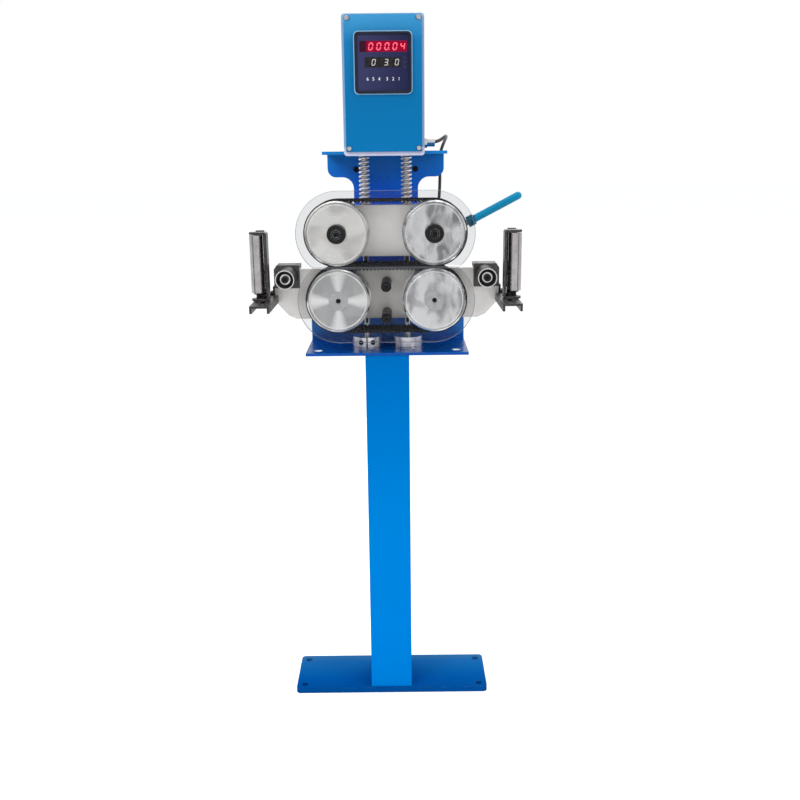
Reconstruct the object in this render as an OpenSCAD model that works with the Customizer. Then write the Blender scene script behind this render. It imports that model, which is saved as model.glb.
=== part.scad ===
// Cable length counter on a post. Two toothed belts grip the cable, an encoder counts its travel.
// X runs to the right, Y away from the viewer, Z up. The origin is the middle of the foot's underside.

/* [Foot and post] */
// Width of the foot plate
base_w = 290; // [240:1:400]
// Depth of the foot plate
base_d = 96; // [92:1:180]
// Thickness of the foot plate
base_t = 8; // [5:0.5:16]
// Corner radius of the foot plate
base_corner_r = 6; // [3:0.5:12]
// Diameter of the floor bolt holes
base_hole_d = 10; // [6:0.5:14]
// Distance of the floor bolt holes from the plate's edges
base_hole_inset = 12; // [10:0.5:16]
// Width of the post
post_w = 61; // [54:1:80]
// Depth of the post
post_d = 80; // [66:1:84]
// Wall of the post
post_wall = 3; // [2:0.5:4]
// Distance of the post behind the foot's front edge
post_inset = 3; // [2:0.5:8]
// Thickness of the post's welded top
post_cap_t = 6; // [4:0.5:10]

/* [Head frame] */
// Height of the bottom flange above the floor
flange_z = 527; // [400:1:900]
// Clear height between the two flanges
throat_h = 266; // [260:1:300]
// Sheet thickness of the frame
frame_t = 4; // [3:0.5:8]
// Width of the frame at the bottom
frame_w = 226; // [222:1:260]
// Depth in front of the back plate, bottom flange
bottom_flange_d = 106; // [104:1:120]
// Depth in front of the back plate, top flange
top_flange_d = 97; // [92:1:110]
// Front face of the back plate
back_y = 60; // [58:1:66]
// Width of the upper lobe and the top flange
lobe_w = 166; // [156:1:180]
// Height of the upper lobe below the top flange
lobe_h = 31; // [29:0.5:36]
// Width of the neck
neck_w = 92; // [80:1:100]
// Diameter of the holes in the bottom flange
flange_hole_d = 11; // [6:0.5:13]
// Distance between the holes in the bottom flange
flange_hole_span = 194; // [180:1:202]
// Diameter of the holes in the upper lobe
lobe_hole_d = 8.4; // [5:0.1:10]
// Distance between the holes in the upper lobe
lobe_hole_span = 84; // [70:1:110]

/* [Pulleys and belts] */
// Flange diameter of the pulleys
pulley_d = 86; // [82:0.5:86.5]
// Width of the pulleys
pulley_w = 52; // [48:0.5:53]
// Front face of the pulleys
pulley_y = -56; // [-57:0.5:-55]
// Distance between the two axes of a belt
pulley_span = 130.4; // [126:0.1:134]
// Height of the lower axes above the bottom flange
lower_axis_h = 74.1; // [73:0.1:76]
// Teeth on a pulley
pulley_teeth = 52; // [44:1:56]
// Height of a tooth
tooth_h = 1.6; // [1:0.1:2]
// Belt standing proud of the pulley flange
belt_proud = 1.6; // [1.2:0.1:2.4]
// Thickness of the belt without its teeth
belt_t = 2.6; // [2.2:0.1:3]
// Gap between the two belts at rest
nip_gap = 0.4; // [0.3:0.05:1]
// Thickness of a pulley flange
pulley_flange_t = 3; // [2:0.25:4]

/* [Blocks and rods] */
// Depth of the lower block and the carriage block
block_t = 30; // [27:0.5:31]
// Gap between pulleys and blocks
block_gap = 2; // [1:0.25:3]
// Half the height of the carriage block
carriage_r = 35; // [32:0.5:37]
// Length of the lower block
lower_block_w = 316; // [312:1:317]
// Height of the lower block above its axes
lower_block_up = 37.9; // [36:0.1:39]
// Depth of the lower block below its axes
lower_block_down = 32.6; // [30:0.1:36]
// Diameter of the guide rods
rod_d = 8; // [6:0.25:9]
// Distance between the guide rods
rod_span = 58; // [50:0.5:62]
// Wire of the springs
spring_wire = 3.2; // [2.4:0.1:3.4]
// Coils of a spring
spring_coils = 11; // [8:1:12]
// Diameter of the rod clamps
clamp_d = 42; // [34:0.5:46]
// Height of the rod clamps
clamp_h = 14; // [12:0.5:18]

/* [Guards] */
// End radius of the clear guards
guard_r = 56.5; // [52:0.5:60]
// Half the distance between the guards' end centres
guard_half = 63; // [56:0.5:64]
// Thickness of the clear guards
guard_t = 4; // [2:0.25:5]
// Gap between a guard and the pulleys
guard_gap = 3; // [2:0.25:5]

/* [Lifting lever] */
// Lift of the carriage
lift = 20; // [10:1:22]
// Sweep of the lever
lever_sweep = 60; // [50:1:62]
// Rest angle of the lever above level
lever_angle = 27.4; // [20:0.1:32]
// Length of the lever from its pivot
lever_len = 161; // [140:1:170]
// Diameter of the lever's grip
grip_d = 11; // [9:0.25:11.5]
// Distance of the pivot to the right of the middle
pivot_x = 50; // [48:0.5:51]

/* [Guide rollers] */
// Distance between the two horizontal rollers
level_roller_span = 274; // [270:0.5:276]
// Diameter of the horizontal rollers
level_roller_d = 26; // [22:0.5:28]
// Diameter of the vertical rollers
side_roller_d = 18; // [14:0.5:18.5]
// Length of the vertical rollers
side_roller_h = 77; // [60:0.5:80]
// Distance between front and rear vertical roller
side_roller_gap = 40; // [38:0.5:42]
// Distance between the left and the right vertical rollers
side_roller_span = 347; // [346:0.5:349]
// Sheet thickness of the roller brackets
bracket_t = 3; // [2:0.25:3.2]
// Depth of a roller bracket
bracket_d = 18; // [16:0.5:24]
// Length of the slotted guide bars
bar_len = 100; // [96:1:120]
// Width of the slotted guide bars
bar_w = 26; // [25:0.5:28]
// Height of the slotted guide bars
bar_h = 10; // [9:0.25:12]
// Width of the slot
slot_w = 7; // [6.5:0.1:7.5]

/* [Counter box] */
// Width of the box
box_w = 99; // [92:0.5:102]
// Height of the box
box_h = 165.5; // [150:0.5:180]
// Depth of the box
box_d = 76; // [72:0.5:90]
// Wall of the box
box_wall = 3; // [2:0.25:4]
// Rim of the box standing out round it
rim_out = 3; // [2:0.25:4]
// Thickness of the seal
gasket_t = 3; // [2:0.25:4]
// Thickness of the lid
lid_t = 4; // [3:0.25:5]
// Width of the counter's bezel
counter_w = 72; // [68:0.5:76]
// Height of the counter's bezel
counter_h = 74; // [68:0.5:76]
// Height of the counter's middle above the box floor
counter_up = 108; // [100:0.5:112]
// Diameter of the signal cable
cable_d = 4.5; // [3:0.1:4.6]

/* [Hidden] */
$fn = 48;

// Overrun of every cut
cut = 1;
// Running clearance of a turning fit
run = 0.05;
// Clearance of a fixed pin in its hole
fit = 0.02;

// Places that several pieces share
post_y0 = -base_d / 2 + post_inset;
post_mid_y = post_y0 + post_d / 2;
flange_under_z = flange_z - frame_t;
top_z = flange_z + throat_h;
lower_z = flange_z + lower_axis_h;
belt_r = pulley_d / 2 + belt_proud;
belt_in_r = belt_r - belt_t;
upper_z = lower_z + 2 * belt_r + nip_gap;
nip_z = (lower_z + upper_z) / 2;
pulley_x = pulley_span / 2;
pulley_back_y = pulley_y + pulley_w;
block_y = pulley_back_y + block_gap;
block_back_y = block_y + block_t;
rod_x = rod_span / 2;
rod_r = rod_d / 2;
rod_y = block_y + block_t / 2;
guard_back_y = pulley_y - guard_gap;
guard_y = guard_back_y - guard_t;
lower_top_z = lower_z + lower_block_up;
lower_low_z = lower_z - lower_block_down;
lower_half = lower_block_w / 2;
cable_plane_y = pulley_y + pulley_w / 2;

// Bolts and screws
m8_r = 4;
m8_head_r = 7.5;
m8_head_h = 5.3;
m8_grip = 14;
m6_r = 3;
m6_head_r = 5;
m6_head_h = 5;
m4_r = 2;
m4_head_r = 3.2;
m4_head_h = 4;

// Post bolts
post_bolt_places = [[-20, -22], [20, -22], [0, 22]];
post_bolt_in = 0.6;

// Frame outline
lobe_corner_r = 12;
neck_fillet_r = 16;
shoulder_half = 75;
shoulder_up = 99;
shoulder_z = lower_z + shoulder_up;
wide_up = 31;
wide_z = lower_z + wide_up;
frame_corner_r = 18;
bend_r = 3;
flange_hole_in = 19;
lobe_hole_down = 20;
lobe_screw_in = 1;
lobe_screw_out = 3;
lobe_socket_r = 2.4;

// Blocks
chamfer_x = 1;
chamfer_mid_x = 19;
chamfer_low_x = 30;
chamfer_up = 25;
chamfer_low_up = 5;
spacer_r = 8;
spacer_places = [[100, -9], [12, -16]];
spacer_stud_r = 3.5;
spacer_stud_l = 12;

// Pulleys, shafts and bearings
belt_side_gap = 0.5;
belt_run_gap = 0.3;
tooth_share = 0.5;
groove_r = 37.5;
groove_w = 1;
groove_deep = 0.6;
bevel = 2;
bearing_r = 16;
bearing_w = 9;
bearing_float = 1;
journal_r = 7.5;
hub_r = 9;
hub_t = 5;
shaft_r = 8.5;
shaft_head_r = 13;
shaft_head_t = 3;
shaft_proud = 0.5;
centre_r = 3.2;
centre_deep = 8;
nose_r = 5;
nose_l = 16;
axle_nut_r = 11;
axle_nut_h = 8;
axle_bore_deep = 16;
washer_r = 12.7;
washer_t = 2;
axle_head_r = 6.5;
axle_head_h = 8;
belt_tooth_reach = 47;

// Stand-offs of the lower guard
standoff_r = 7;
standoff_up = 19;
standoff_down = -24;
standoff_thread = 11;

// Encoder
encoder_r = 20;
encoder_l = 34;
encoder_boss_r = 10;
encoder_shaft_r = 3;
encoder_shaft_l = 12;
encoder_exit_r = 5;
encoder_exit_y = 84;
encoder_exit_z = 630;
coupling_r = 9;
coupling_l = 20;
coupling_short = 4;

// Bushings of the carriage
bushing_r = 7.5;
bushing_l = 24;

// Springs
spring_rings = 8;
spring_sides = 6;
spring_play = 0.2;
spring_r = (rod_r + spring_play + spring_wire / 2) / cos(180 / spring_rings);
spring_z0 = upper_z + carriage_r;

// Rod clamps
clamp_slit = 2;
clamp_screw_x = 8.5;
clamp_screw_in = 14;
rod_screw_head_r = 7;
rod_screw_deep = 12;

// Lever and cam
pivot_down = 27.7;
pivot_z = upper_z - pivot_down;
pivot_r = 6;
stud_gap = 1.5;
stud_y = block_back_y + stud_gap;
cam_gap = 2;
cam_y = block_back_y + cam_gap;
cam_t = 10;
cam_r = 10;
cam_collar_r = 9;
cam_collar_t = 2;
cam_play = 0.3;
cam_over = 12;
cam_drop = 50;
follower_r = 5;
follower_seat = 10;
lever_hub_r = 12;
lever_hub_t = 12;
lever_hub_y = cam_y + cam_t + cam_collar_t;
lever_rod_r = 4;
sleeve_r = 8;
sleeve_at = 75;
sleeve_l = 11;
grip_seat = 12;
follower_z = pivot_z + cam_r + follower_r + cam_play;

// Horizontal rollers
level_x = level_roller_span / 2;
level_r = level_roller_d / 2;
level_up = 28.9;
level_z = lower_z + level_up;
level_back = 2;
level_y = pulley_y + level_back;
level_l = 48;
level_recess_r = 11.8;
level_recess = 9;
level_axle_r = 6;
level_washer_r = 7.2;
level_washer_t = 1.5;
level_washer_in = 7;
level_head_r = 10;
level_head_h = 6;
roller_block_w = 36;
roller_block_down = 18;
roller_block_z = level_z - roller_block_down;
roller_block_up = 14.3;
roller_block_top_z = level_z + roller_block_up;
roller_block_cut = [4, 6];
roller_screw_in = [4, 32];
roller_screw_y = 14.5;
roller_screw_l = 44;

// Slotted bars and roller brackets
side_x = side_roller_span / 2;
side_r = side_roller_d / 2;
bar_under_block = 5;
bar_x = lower_half - bar_under_block;
bar_up = 0.9;
bar_top_z = lower_z + bar_up;
bar_t = 3;
bar_mid_x = bar_x + bar_w / 2;
bar_joint = 0.3;
tab_up = 12;
tab_y = 3.5;
tab_screw_y = [9, 20];
tab_screw_z = 4;
bracket_gap = 0.2;
web_gap = 0.5;
web_x = lower_half + web_gap;
roller_float = 0.3;
roller_up = 11;
roller_low_z = bar_top_z + roller_up;
bracket_z = bar_top_z + bracket_gap;
bracket_room = 1;
bracket_top_z = roller_low_z + side_roller_h + bracket_room + bracket_t;
pin_r = 3;
pin_collar_r = 6;
pin_collar_t = 2.6;
bolt_head_r = 4.2;
bolt_head_h = 4;
bolt_nut_r = 5;
bolt_nut_h = 4;
nut_gap = 0.2;
slide_in = 14;
slide_out = 24;
slot_spare = 1;
rivet_r = 2.4;
rivet_over = 1;
stud_head_h = 3;

// Counter box
box_back_y = lid_back_y() + gasket_t + box_d;
box_floor_z = top_z + frame_t;
box_top_z = box_floor_z + box_h;
box_corner_r = 4;
rim_low = 6;
rim_top = 2;
rim_t = 3;
lid_w = 98.6;
lid_low_in = 5;
lid_top_in = 1.5;
lid_notch = 9;
lid_screw_in = 4.2;
lid_screw_r = 3.6;
lid_screw_top_r = 2.6;
lid_screw_h = 2;
lid_screw_shank = 2;
lid_screw_l = 10;
counter_r = 5;
counter_proud = 4;
counter_wall = 3;
counter_panel_deep = 1.5;
counter_panel_t = 1;
counter_body = 66;
counter_body_d = 60;
box_screw_x = 35;
box_screw_y = -10;
gland_y = 5;
gland_up = 12;
gland_r = 8;
gland_nut_l = 8;
gland_tail_r = 6.5;
gland_l = 18.5;
gland_seat_r = 6;
gland_play = 0.15;
gland_bore_r = cable_d / 2 + gland_play;

// Signal cable, from the gland over the top flange and down behind the back plate to the encoder
cable_route = [[62, 5, 809], [68, 5, 809], [75, 8, 811], [81, 16, 815], [84, 28, 817], [85, 42, 815],
    [83, 56, 809], [80, 67, 800], [78, 72, 790], [78, 72, 778], [78, 72, 760], [77, 72, 735],
    [74, 72, 712], [71, 72, 697], [70, 72, 688], [70, 72, 680], [69, 73, 668], [67, 78, 655],
    [65, 83, 643], [65, 84, 636], [65, 84, 630]];
cable_steps = 2;
cable_sides = 8;
clip_places = [[78, 782], [70, 684]];
clip_y = 72;
clip_w = 10;
clip_h = 8;
clip_over = 4;

function lid_back_y() = guard_back_y + lid_t;

// Pulls a flat outline in X and Z out along Y, from y0 over a depth of t
module along_y(y0, t) {
    translate([0, y0 + t, 0]) rotate([90, 0, 0]) linear_extrude(t) children();
}

module rod_along_y(x, z, r, y0, y1) {
    translate([x, y1, z]) rotate([90, 0, 0]) cylinder(r = r, h = y1 - y0);
}

module rod_along_x(y, z, r, x0, x1) {
    translate([x0, y, z]) rotate([0, 90, 0]) cylinder(r = r, h = x1 - x0);
}

module rod_along_z(x, y, r, z0, z1) {
    translate([x, y, z0]) cylinder(r = r, h = z1 - z0);
}

// A box between two corners
module block(low, high) {
    translate(low) cube(high - low);
}

// A piece and its mirror image on the left
module both_sides() {
    children();
    mirror([1, 0, 0]) children();
}

// A flat plate with round corners, drawn about its middle
module round_rect(w, h, r) {
    union() {
        square([w - 2 * r, h], center = true);
        square([w, h - 2 * r], center = true);
        for (x = [-1, 1], y = [-1, 1]) translate([x * (w / 2 - r), y * (h / 2 - r)]) circle(r);
    }
}

module stadium(half, r) {
    square([2 * half, 2 * r], center = true);
    for (x = [-half, half]) translate([x, 0]) circle(r, $fn = 96);
}

module ring_along_y(x, z, r, bore, y0, y1) {
    difference() {
        rod_along_y(x, z, r, y0, y1);
        rod_along_y(x, z, bore, y0 - cut, y1 + cut);
    }
}

module hex_along_z(x, y, r, z0, z1) {
    translate([x, y, z0]) cylinder(r = r, h = z1 - z0, $fn = 6);
}

// Foot and post
module base_plate() {
    color([0.0, 0.30, 0.62]) difference() {
        linear_extrude(base_t) round_rect(base_w, base_d, base_corner_r);
        for (x = [-1, 1], y = [-1, 1])
            rod_along_z(x * (base_w / 2 - base_hole_inset), y * (base_d / 2 - base_hole_inset),
                base_hole_d / 2, -cut, base_t + cut);
    }
}

module post() {
    color([0.0, 0.46, 0.87]) difference() {
        block([-post_w / 2, post_y0, base_t], [post_w / 2, post_y0 + post_d, flange_under_z]);
        block([-post_w / 2 + post_wall, post_y0 + post_wall, base_t - cut],
            [post_w / 2 - post_wall, post_y0 + post_d - post_wall, flange_under_z - post_cap_t]);
        post_bolt_holes(m8_r + fit, flange_under_z - post_cap_t - cut, flange_under_z + cut);
    }
}

module post_bolt_holes(r, z0, z1) {
    for (p = post_bolt_places) rod_along_z(p[0], post_mid_y + p[1], r, z0, z1);
}

// Head frame
module frame_outline() {
    difference() {
        union() {
            translate([-frame_w / 2, flange_under_z]) square([frame_w, wide_z - flange_under_z]);
            translate([-shoulder_half, wide_z - cut])
                square([2 * shoulder_half, shoulder_z - wide_z + cut]);
            translate([-neck_w / 2, shoulder_z - cut]) square([neck_w, top_z - shoulder_z]);
            lobe_outline();
        }
        for (x = [-1, 1]) {
            corner_cut(x * frame_w / 2, wide_z, -x, frame_corner_r);
            corner_cut(x * shoulder_half, shoulder_z, -x, frame_corner_r);
        }
    }
}

// Takes the corner off at x, z and leaves it round
module corner_cut(x, z, side, r) {
    difference() {
        translate([min(x - side * cut, x + side * r), z - r]) square([r + cut, r + cut]);
        translate([x + side * r, z - r]) circle(r);
    }
}

module lobe_outline() {
    low = top_z - lobe_h;
    union() {
        translate([-lobe_w / 2, low + lobe_corner_r]) square([lobe_w, lobe_h - lobe_corner_r]);
        translate([-lobe_w / 2 + lobe_corner_r, low])
            square([lobe_w - 2 * lobe_corner_r, lobe_corner_r + cut]);
        for (x = [-1, 1]) {
            translate([x * (lobe_w / 2 - lobe_corner_r), low + lobe_corner_r]) circle(lobe_corner_r);
            translate([x * neck_w / 2, low]) neck_fillet(x);
        }
    }
}

module neck_fillet(side) {
    difference() {
        translate([min(0, side * neck_fillet_r), -neck_fillet_r]) square(neck_fillet_r);
        translate([side * neck_fillet_r, -neck_fillet_r]) circle(neck_fillet_r);
    }
}

module head_frame() {
    color([0.0, 0.30, 0.72]) difference() {
        union() {
            along_y(back_y, frame_t) frame_outline();
            block([-frame_w / 2, back_y - bottom_flange_d, flange_under_z],
                [frame_w / 2, back_y + frame_t, flange_z]);
            block([-lobe_w / 2, back_y - top_flange_d, top_z],
                [lobe_w / 2, back_y + frame_t, top_z + frame_t]);
            rod_along_y(pivot_x, pivot_z, pivot_r, stud_y, back_y + cut);
            inner_bend(flange_z, 1, frame_w / 2);
            inner_bend(top_z, -1, lobe_w / 2);
        }
        outer_bend(flange_under_z, 1, frame_w / 2);
        outer_bend(top_z + frame_t, -1, lobe_w / 2);
        post_bolt_holes(m8_r + fit, flange_under_z - cut, flange_z + cut);
        for (x = [-1, 1]) {
            rod_along_z(x * flange_hole_span / 2, flange_hole_y(), flange_hole_d / 2,
                flange_under_z - cut, flange_z + cut);
            rod_along_y(x * lobe_hole_span / 2, lobe_hole_z(), lobe_hole_d / 2,
                back_y - cut, back_y + frame_t + cut);
            rod_screw(x, fit, cut);
            rod_along_z(x * box_screw_x, box_screw_y, m6_r + fit, top_z - cut, top_z + frame_t + cut);
        }
        rod_along_y(pulley_x, lower_z, encoder_boss_r + fit, back_y - cut, back_y + frame_t + cut);
        both_sides() for (p = spacer_places)
            rod_along_y(p[0], lower_z + p[1], m8_r + fit, back_y - cut, back_y + frame_t + cut);
    }
}

// Fills the bend between the back plate and a flange whose inner face is at z
module inner_bend(z, side, half) {
    difference() {
        block([-half, back_y - bend_r, min(z, z + side * bend_r)], [half, back_y, max(z, z + side * bend_r)]);
        rod_along_x(back_y - bend_r, z + side * bend_r, bend_r, -half - cut, half + cut);
    }
}

// Takes the sharp edge off outside the bend
module outer_bend(z, side, half) {
    r = bend_r + frame_t;
    y = back_y - bend_r;
    difference() {
        block([-half - cut, y, min(z - side * cut, z + side * r)],
            [half + cut, y + r + cut, max(z - side * cut, z + side * r)]);
        rod_along_x(y, z + side * r, r, -half - 2 * cut, half + 2 * cut);
    }
}

function flange_hole_y() = back_y - bottom_flange_d + flange_hole_in;
function lobe_hole_z() = top_z - lobe_hole_down;

// A countersunk screw down into the top of a guide rod
module rod_screw(side, play, over) {
    translate([side * rod_x, rod_y, top_z]) {
        translate([0, 0, -rod_screw_deep]) cylinder(r = m4_r + play, h = rod_screw_deep + frame_t);
        cylinder(r1 = m4_r + play, r2 = rod_screw_head_r + play, h = frame_t);
        if (over > 0) translate([0, 0, frame_t]) cylinder(r = rod_screw_head_r + play, h = over);
    }
}

module frame_bolts() {
    color([0.55, 0.56, 0.58]) {
        for (p = post_bolt_places) post_bolt(p[0], post_mid_y + p[1]);
        both_sides() for (p = spacer_places) spacer_bolt(p[0], lower_z + p[1]);
    }
}

// Screwed up from inside the post, its end just under the flange's face
module post_bolt(x, y) {
    cap_z = flange_under_z - post_cap_t;
    hex_along_z(x, y, m8_head_r, cap_z - m8_head_h, cap_z);
    rod_along_z(x, y, m8_r, cap_z - m8_head_h, flange_z - post_bolt_in);
}

module spacer_bolt(x, z) {
    rod_along_y(x, z, m8_r, back_y - m8_grip, back_y + frame_t + m8_head_h);
    translate([x, back_y + frame_t, z]) rotate([-90, 0, 0])
        cylinder(r = m8_head_r, h = m8_head_h, $fn = 6);
}

module frame_screws() {
    color([0.12, 0.12, 0.13]) {
        at_clamps() for (x = [-1, 1]) clamp_screw(rod_x + x * clamp_screw_x, 0);
        both_sides() {
            rod_screw(1, 0, 0);
            for (y = tab_screw_y) tab_screw(y);
            for (x = roller_screw_in) roller_screw(lower_half - x, 0);
            lobe_screw();
            box_screw();
        }
    }
}

// Black screws close the two holes in the upper lobe
module lobe_screw() {
    x = lobe_hole_span / 2;
    difference() {
        rod_along_y(x, lobe_hole_z(), lobe_hole_d / 2 - fit, back_y + lobe_screw_in,
            back_y + frame_t + lobe_screw_out);
        translate([x, back_y + frame_t, lobe_hole_z()]) rotate([90, 0, 0])
            cylinder(r = lobe_socket_r, h = frame_t, $fn = 6);
    }
}

module box_screw() {
    floor_z = box_floor_z + box_wall;
    rod_along_z(box_screw_x, box_screw_y, m6_r, top_z, floor_z);
    rod_along_z(box_screw_x, box_screw_y, m6_head_r, floor_z, floor_z + m6_head_h);
}

module tab_screw(y) {
    z = bar_top_z - bar_h / 2 + tab_screw_z;
    rod_along_x(y, z, m6_r, lower_half - m8_grip, lower_half + bar_t);
    rod_along_x(y, z, m6_head_r, lower_half + bar_t, lower_half + bar_t + m6_head_h);
}

// Rods and clamps
module guide_rods() {
    color([0.80, 0.80, 0.82]) both_sides() difference() {
        rod_along_z(rod_x, rod_y, rod_r, flange_z, top_z);
        rod_along_z(rod_x, rod_y, m4_r + fit, top_z - rod_screw_deep - cut, top_z + cut);
    }
}

module clamp_screw(x, play) {
    face_y = rod_y - clamp_d / 2;
    z = flange_z + clamp_h / 2;
    rod_along_y(x, z, m4_head_r + play, face_y, face_y + m4_head_h);
    rod_along_y(x, z, m4_r + play, face_y, face_y + clamp_screw_in);
}

// The left clamp shows its screws, the right one is turned with them to the back
module at_clamps() {
    mirror([1, 0, 0]) children();
    translate([rod_x, rod_y, 0]) rotate(180) translate([-rod_x, -rod_y, 0]) children();
}

module rod_clamps() {
    color([0.82, 0.82, 0.84]) at_clamps() difference() {
        rod_along_z(rod_x, rod_y, clamp_d / 2, flange_z, flange_z + clamp_h);
        rod_along_z(rod_x, rod_y, rod_r + fit, flange_z - cut, flange_z + clamp_h + cut);
        block([rod_x - clamp_slit / 2, rod_y - clamp_d, flange_z - cut],
            [rod_x + clamp_slit / 2, rod_y, flange_z + clamp_h + cut]);
        for (x = [-1, 1]) clamp_screw(rod_x + x * clamp_screw_x, fit);
    }
}

// Lower unit
module lower_block() {
    color([0.72, 0.71, 0.70]) difference() {
        along_y(block_y, block_t) polygon(lower_outline());
        for (x = [-1, 1]) {
            rod_along_y(x * pulley_x, lower_z, bearing_r + fit, block_y - cut, block_back_y + cut);
            rod_along_z(x * rod_x, rod_y, rod_r + fit, lower_low_z - cut, lower_top_z + cut);
        }
        both_sides() {
            for (y = tab_screw_y) tab_screw(y);
            for (x = roller_screw_in) roller_screw(lower_half - x, fit);
            for (p = spacer_places)
                rod_along_y(p[0], lower_z + p[1], spacer_stud_r + fit,
                    block_back_y - spacer_stud_l - cut, block_back_y + cut);
        }
    }
}

function right_outline() = [[lower_half - roller_block_w, lower_top_z],
    [lower_half - roller_block_w, roller_block_z], [lower_half, roller_block_z],
    [lower_half - chamfer_x, lower_low_z + chamfer_up],
    [lower_half - chamfer_mid_x, lower_low_z + chamfer_low_up], [lower_half - chamfer_low_x, lower_low_z]];
function lower_outline() = concat(right_outline(),
    [for (i = [len(right_outline()) - 1:-1:0]) [-right_outline()[i][0], right_outline()[i][1]]]);

module block_spacers() {
    color([0.75, 0.75, 0.76]) both_sides() for (p = spacer_places) difference() {
        union() {
            rod_along_y(p[0], lower_z + p[1], spacer_r, block_back_y, back_y);
            rod_along_y(p[0], lower_z + p[1], spacer_stud_r, block_back_y - spacer_stud_l,
                block_back_y + cut);
        }
        rod_along_y(p[0], lower_z + p[1], m8_r + fit, back_y - m8_grip - cut, back_y + cut);
    }
}

// Dark blocks let into the ends of the lower block, with the axles of the horizontal rollers
module roller_blocks() {
    low_x = lower_half - roller_block_w;
    color([0.10, 0.10, 0.11]) both_sides() difference() {
        along_y(block_y, block_t) polygon([[low_x, roller_block_z], [lower_half, roller_block_z],
            [lower_half, roller_block_top_z - roller_block_cut[1]],
            [lower_half - roller_block_cut[0], roller_block_top_z], [low_x, roller_block_top_z]]);
        rod_along_y(level_x, level_z, level_axle_r + fit, block_y - cut, block_back_y + cut);
        for (x = roller_screw_in) roller_screw(lower_half - x, fit);
    }
}

// A screw that holds a roller block, its head sunk in the block's top
module roller_screw(x, play) {
    head_top_z = roller_block_top_z - roller_block_cut[1];
    over_z = play > 0 ? roller_block_top_z + cut : head_top_z;
    rod_along_z(x, roller_screw_y, m4_head_r + play, head_top_z - m4_head_h, over_z);
    rod_along_z(x, roller_screw_y, m4_r + play, roller_block_top_z - roller_screw_l, head_top_z);
}

// The toothed rim of a pulley, drawn about its axis
module tooth_rim() {
    tip = belt_in_r - belt_run_gap;
    step = 360 / pulley_teeth;
    share = step * tooth_share / 2;
    polygon([for (i = [0:pulley_teeth - 1], k = [0:3])
        let (a = i * step + [-share - share / 2, -share / 2, share / 2, share + share / 2][k],
            r = k == 0 || k == 3 ? tip - tooth_h : tip) [r * cos(a), r * sin(a)]]);
}

module pulley_body(x, z, turn) {
    flange_r = pulley_d / 2;
    front_y = pulley_y;
    translate([x, 0, z]) difference() {
        union() {
            along_y(front_y + pulley_flange_t - cut, pulley_w - 2 * pulley_flange_t + 2 * cut)
                rotate(turn) tooth_rim();
            rod_along_y(0, 0, flange_r, pulley_back_y - pulley_flange_t, pulley_back_y);
            translate([0, front_y, 0]) rotate([-90, 0, 0])
                cylinder(r1 = flange_r - bevel, r2 = flange_r, h = bevel);
            rod_along_y(0, 0, flange_r, front_y + bevel, front_y + pulley_flange_t);
        }
        ring_along_y(0, 0, groove_r + groove_w, groove_r, front_y - cut, front_y + groove_deep);
    }
}

module upper_pulley(x) {
    color([0.78, 0.78, 0.79]) difference() {
        pulley_body(x, upper_z, 0);
        rod_along_y(x, upper_z, hub_r, pulley_y - cut, pulley_back_y + cut);
        rod_along_y(x, upper_z, bearing_r + run, pulley_y + hub_t, pulley_back_y + cut);
    }
}

module lower_pulley(x) {
    color([0.80, 0.80, 0.81]) difference() {
        pulley_body(x, lower_z, 0);
        rod_along_y(x, lower_z, shaft_r + fit, pulley_y - cut, pulley_back_y + cut);
        rod_along_y(x, lower_z, shaft_head_r + fit, pulley_y - cut,
            pulley_y + shaft_head_t - shaft_proud);
    }
}

module shaft(x, nose) {
    head_y = pulley_y - shaft_proud;
    color([0.62, 0.63, 0.65]) difference() {
        union() {
            rod_along_y(x, lower_z, shaft_head_r, head_y, head_y + shaft_head_t);
            rod_along_y(x, lower_z, shaft_r, head_y, pulley_back_y + block_gap / 2);
            rod_along_y(x, lower_z, journal_r - run, head_y, block_back_y);
            if (nose > 0) rod_along_y(x, lower_z, nose_r, head_y, block_back_y + nose);
        }
        rod_along_y(x, lower_z, centre_r, head_y - cut, head_y + centre_deep);
    }
}

module lower_bearings() {
    color([0.70, 0.71, 0.72]) for (x = [-1, 1], y = [block_y, block_back_y - bearing_w])
        ring_along_y(x * pulley_x, lower_z, bearing_r, journal_r, y, y + bearing_w);
}

// A belt round two pulleys, with its teeth on the straight runs between them
module belt(z) {
    side = pulley_flange_t + belt_side_gap;
    pitch = 2 * PI * (belt_in_r - belt_run_gap) / pulley_teeth;
    count = floor(belt_tooth_reach / pitch);
    color([0.07, 0.07, 0.075]) along_y(pulley_y + side, pulley_w - 2 * side) translate([0, z]) {
        difference() {
            stadium(pulley_x, belt_r);
            stadium(pulley_x, belt_in_r);
        }
        for (i = [-count:count], s = [-1, 1])
            translate([i * pitch, s * (belt_in_r - tooth_h / 2 + belt_run_gap)])
                square([pitch * tooth_share, tooth_h + 2 * belt_run_gap], center = true);
    }
}

// Clear guards, cut level on the side of the cable
module guard_plate(z, side) {
    color([0.85, 0.88, 0.90, 0.4]) along_y(guard_y, guard_t) difference() {
        translate([0, z]) stadium(guard_half, guard_r);
        translate([-2 * guard_half, side > 0 ? nip_z - 2 * guard_r : nip_z - nip_gap])
            square([4 * guard_half, 2 * guard_r + nip_gap]);
    }
}

module upper_guard() {
    difference() {
        guard_plate(upper_z, 1);
        for (x = [-1, 1])
            rod_along_y(x * pulley_x, upper_z, m8_r + fit, guard_y - cut, guard_back_y + cut);
    }
}

module lower_guard() {
    difference() {
        guard_plate(lower_z, -1);
        for (z = [standoff_down, standoff_up])
            rod_along_y(0, lower_z + z, m6_r + fit, guard_y - cut, guard_back_y + cut);
    }
}

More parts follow.
